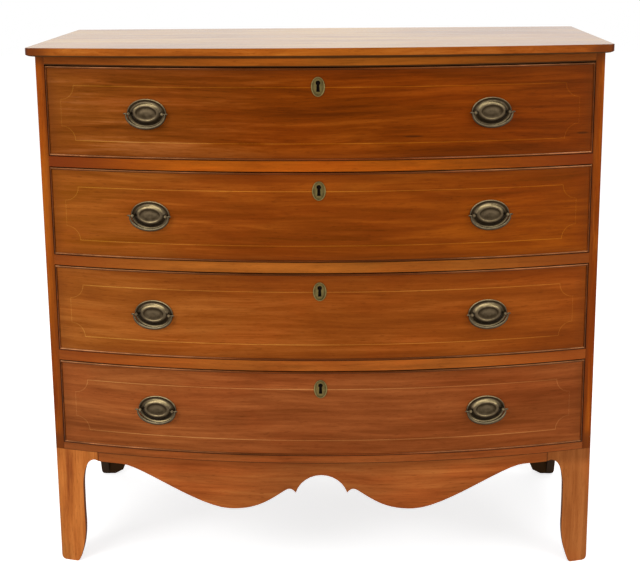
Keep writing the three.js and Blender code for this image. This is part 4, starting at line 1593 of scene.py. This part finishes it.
@dataclass
class Drawer:
    """One drawer: bowed front with its bead, line and brasses, and the dovetailed box behind it."""

    palette: Palette
    number: int
    opening_low: float
    front_finish: WoodFinish
    front_edge: float = 0.0004
    box_edge: float = 0.0005
    lock_edge: float = 0.0003
    half: float = 0.4822
    low_gap: float = 0.0012
    high: float = 0.15945
    bead_width: float = 0.003
    bead_proud: float = 0.002
    bead_depth: float = 0.007
    bead_nose_steps: int = 8
    # About how far apart the points of the bead and the line are, on level and on upright runs.
    level_step: float = 0.014
    upright_step: float = 0.03
    # Where the painted highlight on the crest starts across, and the length of its fade.
    crest_highlight_fade: Point = (0.13, 0.22)
    line_width: float = 0.0013
    line_proud: float = 0.00012
    line_depth: float = 0.0008
    line_dim: float = 0.68
    line_half: float = 0.4555
    line_low: float = 0.030
    line_high: float = 0.1265
    line_corner: float = 0.025
    corner_steps: int = 10
    line_fade: float = 0.405
    line_stop_share: float = 0.8
    keyhole_rise: float = 0.12775
    pull_rise: float = 0.080625
    escutcheon_points: int = 72
    escutcheon_seat: float = 0.0003
    escutcheon_half_width: float = 0.012
    escutcheon_half_height: float = 0.017
    keyhole_head: float = 0.004
    keyhole_head_rise: float = 0.0066
    keyhole_foot_drop: float = 0.0085
    keyhole_neck: float = 0.0023
    keyhole_foot: float = 0.003
    keyhole_steps: int = 32
    cut_neck_share: float = 0.87
    cut_rise: float = 0.0005
    # Share of the way in to the keyhole, rise in millimetres, rub, and the painted shade on the keyhole's
    # walls.
    escutcheon_profile: tuple[tuple[float, float, float, float], ...] = (
        (0.0, 0.0, 0.1, 0), (0.0, 0.7, 0.3, 0), (0.04, 1.15, 0.5, 0), (0.12, 1.35, 0.65, 0),
        (0.2, 1.25, 0.4, 0), (0.28, 1.0, 0.15, 0), (0.4, 0.95, 0.25, 0), (0.7, 1.0, 0.35, 0),
        (0.9, 1.1, 0.4, 0), (0.96, 1.05, 0.35, 0), (1.0, 0.8, 0.2, 0.3), (1.02, 0.3, 0, 1),
        (1.02, -3.6, 0, 1), (0.93, -3.6, 0, 1), (0.93, 0.0, 0, 1))
    # Rises of the two faces of the dark slip that paints the shade deep in the keyhole, in millimetres.
    keyhole_back: tuple[float, float] = (-3.0, -3.5)

    @property
    def body(self) -> str:
        """Name of the drawer's body."""
        return f"drawer_{self.number}"

    def node(self, part: str) -> str:
        """Name of one of the drawer's nodes."""
        return f"{self.body}_{part}"

    def bead(self) -> bmesh.types.BMesh:
        """Round-nosed bead along the edge of the front.

        Returns:
            The mesh.
        """
        low = self.opening_low + self.low_gap
        high = self.opening_low + self.high
        half = self.half
        path = [
            *Workshop.run((-half, low), (half, low), self.level_step),
            *Workshop.run((half, low), (half, high), self.upright_step),
            *Workshop.run((half, high), (-half, high), self.level_step),
            *Workshop.run((-half, high), (-half, low), self.upright_step)]
        profile = [(0.0, -self.bead_depth)]
        for step in range(self.bead_nose_steps + 1):
            angle = math.pi * step / self.bead_nose_steps
            profile.append((
                -self.bead_width / 2 * (1 - math.cos(angle)), self.bead_proud * math.sin(angle)))
        profile.append((-self.bead_width, -self.bead_depth))
        mesh = Workshop.round_the_face(path, profile, CASE_BOW)
        self.mark_crest_highlight(mesh)
        return mesh

    def mark_crest_highlight(self, mesh: bmesh.types.BMesh) -> None:
        """Marks the upper part of the bead's nose toward both ends of the drawer, where a painted highlight
        makes it pale.

        Args:
            mesh: The mesh of the bead.
        """
        Workshop.turn_out(mesh)
        pale = mesh.faces.layers.float.new(FACE_MARK)
        start, reach = self.crest_highlight_fade
        for face in mesh.faces:
            end = clamped((abs(face.calc_center_median().x) - start) / reach)
            upwards = clamped(face.normal.z * 1.6)
            forwards = 1.0 if face.normal.y < -0.1 else 0.0
            face[pale] = end * upwards * forwards

    def corner(self, x: float, z: float, start: float) -> list[Point]:
        """Hollow corner of the light line.

        Args:
            x: Where the corner would be, across.
            z: Where the corner would be, up.
            start: Angle at which its arc begins; it turns back by a quarter.

        Returns:
            Its points.
        """
        count = self.corner_steps
        angles = [start - math.pi / 2 * step / count for step in range(count + 1)]
        return [(x + self.line_corner * math.cos(angle), z + self.line_corner * math.sin(angle))
                for angle in angles]

    def line_path(self) -> list[Point]:
        """Path of the light line, from one side of the keyhole plate round to the other.

        Returns:
            The points, across and up.
        """
        low = self.opening_low + self.line_low
        high = self.opening_low + self.line_high
        half, inner = self.line_half, self.line_half - self.line_corner
        quarter = math.pi / 2
        stop = self.escutcheon_half_width * self.line_stop_share
        step = self.level_step
        path = [*Workshop.run((-stop, high), (-inner, high), step), *self.corner(-half, high, 4 * quarter)]
        path += [*self.corner(-half, low, quarter), *Workshop.run((-inner, low), (inner, low), step)[1:]]
        path += [*self.corner(half, low, 2 * quarter), *self.corner(half, high, 3 * quarter)]
        path += [*Workshop.run((inner, high), (stop, high), step)[1:], (stop, high)]
        return path

    def line(self) -> bmesh.types.BMesh:
        """Light line let into the front.

        Returns:
            The mesh.
        """
        half, deep, proud = self.line_width / 2, -self.line_depth, self.line_proud
        profile = [(half, deep), (half, proud), (-half, proud), (-half, deep)]
        mesh = Workshop.round_the_face(self.line_path(), profile, CASE_BOW, looped=False)
        light = mesh.faces.layers.float.new(FACE_MARK)
        for face in mesh.faces:
            end = (abs(face.calc_center_median().x) - self.line_fade) / (self.line_half - self.line_fade)
            face[light] = 1.0 - self.line_dim * clamped(end)
        return mesh

    def keyhole(self, count: int) -> list[Point]:
        """Outline of the keyhole about its own middle.

        Args:
            count: Number of points.

        Returns:
            The points, anticlockwise from the middle of its foot.
        """
        turn = math.asin(self.keyhole_neck / self.keyhole_head)
        corners = [(0.0, -self.keyhole_foot_drop), (self.keyhole_foot, -self.keyhole_foot_drop)]
        for step in range(self.keyhole_steps + 1):
            angle = -math.pi / 2 + turn + (2 * math.pi - 2 * turn) * step / self.keyhole_steps
            corners.append((self.keyhole_head * math.cos(angle),
                            self.keyhole_head_rise + self.keyhole_head * math.sin(angle)))
        corners += [(-self.keyhole_foot, -self.keyhole_foot_drop), (0.0, -self.keyhole_foot_drop)]
        lengths = [math.dist(a, b) for a, b in zip(corners, corners[1:])]
        points = []
        for number in range(count):
            left = sum(lengths) * number / count
            place = 0
            while left > lengths[place]:
                left -= lengths[place]
                place += 1
            share = left / lengths[place]
            (x0, z0), (x1, z1) = corners[place], corners[place + 1]
            points.append((x0 + (x1 - x0) * share, z0 + (z1 - z0) * share))
        return points

    def keyhole_foot_cut(self) -> list[Point]:
        """Outline that squares the foot of the keyhole in the board.

        Returns:
            The points, across and up.
        """
        centre = self.opening_low + self.keyhole_rise
        neck = centre + self.keyhole_head_rise - math.sqrt(self.keyhole_head ** 2 - self.keyhole_neck ** 2)
        foot = centre - self.keyhole_foot_drop
        inner = self.keyhole_neck * self.cut_neck_share
        top = neck + self.cut_rise
        return [(-self.keyhole_foot, foot), (self.keyhole_foot, foot), (inner, top), (-inner, top),
                (-self.keyhole_neck, neck)]

    def escutcheon(self) -> bmesh.types.BMesh:
        """Oval keyhole plate with a rolled rim.

        Returns:
            The mesh.
        """
        hole = self.keyhole(self.escutcheon_points)
        circle = Workshop.circle(self.escutcheon_points, -math.pi / 2)
        centre = self.opening_low + self.keyhole_rise
        front = CASE_BOW.face(0.0) - self.escutcheon_seat
        half_x, half_z = self.escutcheon_half_width, self.escutcheon_half_height
        mesh = Workshop.loft([
            [Vector((half_x * out_x * (1 - share) + x * share, front - millimetres(rise),
                     centre + half_z * out_z * (1 - share) + z * share))
             for (x, z), (out_x, out_z) in zip(hole, circle)]
            for share, rise, _, _ in self.escutcheon_profile], looped=True)
        for name, place in ((EDGE_MARK, 2), (PAINTED_SHADE_MARK, 3)):
            Workshop.mark_points(mesh, name, [row[place] for row in self.escutcheon_profile for _ in hole])
        return Workshop.joined([mesh, self.keyhole_dark(hole, front, centre)])

    def keyhole_dark(self, hole: list[Point], front: float, centre: float) -> bmesh.types.BMesh:
        """Dark slip behind the keyhole, painted shade deep in the hole.

        Args:
            hole: Outline of the keyhole about the middle of the plate.
            front: The y of the plate's seat.
            centre: The z of the plate's middle.

        Returns:
            The mesh.
        """
        rings = [[Vector((x, front - millimetres(rise), centre + z)) for x, z in hole]
                 for rise in self.keyhole_back]
        slip = Workshop.loft(rings)
        Workshop.mark_points(slip, PAINTED_SHADE_MARK, [1.0 for _ in slip.verts])
        return slip

    def build(self) -> None:
        """Builds the drawer."""
        front = Workshop.softened(self.node("front"), self.front_edge, CASE_BOW, self.keyhole_foot_cut())
        Piece(self.node("front_board"), front, self.front_finish, self.body, "cherry_front",
              (self.node("front"),)).place(self.palette)
        # The bead's crest is painted pale toward its ends as a highlight.
        bead = WoodFinish(
            "bead_wood", Grain.ALONG_X, 81.0, paint(60, 24, 5), paint(84, 38, 11), paint(112, 54, 20),
            curl=0.1, gloss=0.34, shine=0.3, tone_and_highlight=(4.1, 8.2, 19.0))
        Piece(self.node("bead_strip"), self.bead(), bead, self.body, "bead_wood",
              (self.node("cockbead"),), even=False).place(self.palette)
        Piece(self.node("line_inlay"), self.line(), self.front_finish, self.body, "cherry_front",
              even=False).place(self.palette)
        self.build_box()
        self.build_brasses()

    def build_box(self) -> None:
        """Builds the dovetailed box behind the front."""
        woods = (
            ("poplar_sides", Grain.ALONG_Y, 101.0, ("side_left", "side_right")),
            ("poplar_boards", Grain.ALONG_X, 111.0, ("back", "bottom")))
        for name, grain, seed, parts in woods:
            finish = WoodFinish(
                name, grain, seed, paint(138, 104, 64), paint(174, 138, 92), paint(198, 166, 120),
                curl=0.1, streak=0.3, gloss=0.65, relief=0.35)
            for part in parts:
                Piece(self.node(f"{part}_board"), Workshop.softened(self.node(part), self.box_edge), finish,
                      self.body, "poplar", (self.node(part),)).place(self.palette)

    def build_brasses(self) -> None:
        """Builds the keyhole plate, the lock and the two pulls."""
        plate = BrassFinish(
            "brass_keyhole_plates", 5.9, paint(56, 47, 27), paint(98, 85, 50), paint(140, 124, 80))
        Piece(self.node("escutcheon_plate"), self.escutcheon(), plate, self.body, "aged_brass",
              (self.node("escutcheon"),), even=False).place(self.palette)
        Piece(self.node("lock_case"), Workshop.softened(self.node("lock"), self.lock_edge),
              IronFinish("lock_iron", 2.2), self.body, "lock_iron", (self.node("lock"),)).place(self.palette)
        for side in ("left", "right"):
            Pull(self.palette, self.body, side, self.opening_low + self.pull_rise).build()


@dataclass
class Studio:
    """Floor, soft light and camera."""

    palette: Palette
    lens: float = 80.40
    sensor: float = 36.0
    spot: Place = (0.0599, -2.7197, 1.1509)
    yaw: float = -1.391
    pitch: float = 13.761
    roll: float = -0.487
    dim: float = 0.42
    floor_reach: float = 12.0
    # Name, place, aim, width and height, and power of each lamp.
    lamps: tuple[tuple[str, Place, Place, Point, float], ...] = (
        ("key_lamp", (-2.3, -2.9, 2.0), (0.0, -0.1, 0.5), (2.2, 2.0), 62),
        ("fill_lamp", (2.6, -2.6, 1.5), (0.0, -0.1, 0.5), (2.0, 2.0), 34),
        ("top_lamp", (0.0, -0.4, 3.0), (0.0, 0.0, 0.0), (2.4, 1.6), 34))

    def camera(self) -> None:
        """Sets the camera where the photograph was taken from."""
        yaw, pitch, roll = (math.radians(angle) for angle in (self.yaw, self.pitch, self.roll))
        ahead = Vector((math.sin(yaw) * math.cos(pitch), math.cos(yaw) * math.cos(pitch), -math.sin(pitch)))
        level = Vector((math.cos(yaw), -math.sin(yaw), 0.0))
        upright = level.cross(ahead)
        right = level * math.cos(roll) + upright * math.sin(roll)
        above = upright * math.cos(roll) - level * math.sin(roll)
        data = bpy.data.cameras.new("photo_camera")
        data.lens = self.lens
        data.sensor_width = self.sensor
        data.sensor_fit = "HORIZONTAL"
        camera = stand("photo_camera", data)
        turn = Matrix((right, above, -ahead)).transposed().to_4x4()
        camera.matrix_world = Matrix.Translation(self.spot) @ turn
        bpy.context.scene.camera = camera

    def lamp(self, name: str, spot: Place, aim: Place, size: Point, power: float) -> None:
        """Adds one soft lamp.

        Args:
            name: Name of the lamp.
            spot: Where it stands.
            aim: The point that it faces.
            size: Width and height of its face.
            power: Its power in watts.
        """
        data = bpy.data.lights.new(name, "AREA")
        data.shape = "RECTANGLE"
        data.size, data.size_y = size
        data.energy = power
        lamp = stand(name, data)
        lamp.location = spot
        lamp.rotation_euler = (Vector(aim) - Vector(spot)).to_track_quat("-Z", "Y").to_euler()
        lamp.visible_camera = False

    def world(self) -> None:
        """Sets a dim even light, seen as white by the eye and in polished faces."""
        world = bpy.data.worlds.new("studio_world")
        bpy.context.scene.world = world
        graph = Graph(world)
        level = graph.seen_plainly() * (1 - self.dim) + self.dim
        glow = graph.node("ShaderNodeBackground", sockets={"Color": (1.0, 1.0, 1.0), "Strength": level})
        graph.node("ShaderNodeOutputWorld", sockets={"Surface": glow})

    def floor(self) -> None:
        """Lays the floor."""
        data = bpy.data.meshes.new("studio_floor")
        signs = ((-1, -1), (1, -1), (1, 1), (-1, 1))
        corners = [(x * self.floor_reach, y * self.floor_reach, 0) for x, y in signs]
        data.from_pydata(corners, [], [(0, 1, 2, 3)])
        data.materials.append(self.palette.dress(PaleFloor()))
        floor = stand("studio_floor", data)

    def build(self) -> None:
        """Builds the studio."""
        self.camera()
        self.world()
        self.floor()
        for lamp in self.lamps:
            self.lamp(*lamp)
        bpy.context.scene.view_settings.view_transform = "Standard"


def front_finishes() -> list[WoodFinish]:
    """The woods of the four drawer fronts, from the top down.

    Returns:
        The finishes.
    """
    # Deep, warm and bright colours of each front, the tints of its left and right parts, partly painted light
    # and shade across the bow, and the share of its darkened rim.
    fronts = (
        ((80, 28, 0), (110, 45, 2), (138, 66, 10), (1.45, 2.15, 9.0), (0.88, 0.7, 0.45), 0.4),
        ((99, 41, 2), (119, 52, 7), (142, 70, 14), (1.6, 2.2, 3.7), (1.02, 0.93, 0.5), 0.35),
        ((110, 48, 9), (129, 62, 15), (152, 80, 27), (1.18, 1.4, 1.6), (1.04, 0.95, 0.76), 0.3),
        ((106, 49, 18), (131, 66, 29), (156, 86, 42), (1.14, 1.24, 1.2), (1.05, 1.02, 0.95), 0.3))
    top_knots = ((0.163, 0.8188, 0.018, 0.0018), (0.463, 0.8155, 0.011, 0.0022))
    finishes = []
    for number, (deep, warm, bright, left, right, rim) in enumerate(fronts, start=1):
        low = opening_low(number)
        finishes.append(WoodFinish(
            f"cherry_front_{number}", Grain.ALONG_X, 2.3 + 6.1 * number,
            paint(*deep), paint(*warm), paint(*bright), curl=0.2, blush=0.35, tone_and_highlight=(1.68, 2.55, 3.2),
            left_tint_and_light=left, right_tint_and_light=right, bent=CASE_BOW.bend,
            dark_rim=(0.482, low, low + 0.16, rim), knots=top_knots if number == 1 else ()))
    return finishes


def main() -> None:
    """Builds the chest and its studio."""
    logging.basicConfig(level=logging.INFO, format="%(name)s: %(message)s")
    palette = Palette()
    Case(palette).build()
    Base(palette).build()
    for number, finish in enumerate(front_finishes(), start=1):
        Drawer(palette, number, opening_low(number), finish).build()
    Studio(palette).build()


if __name__ == "__main__":
    main()
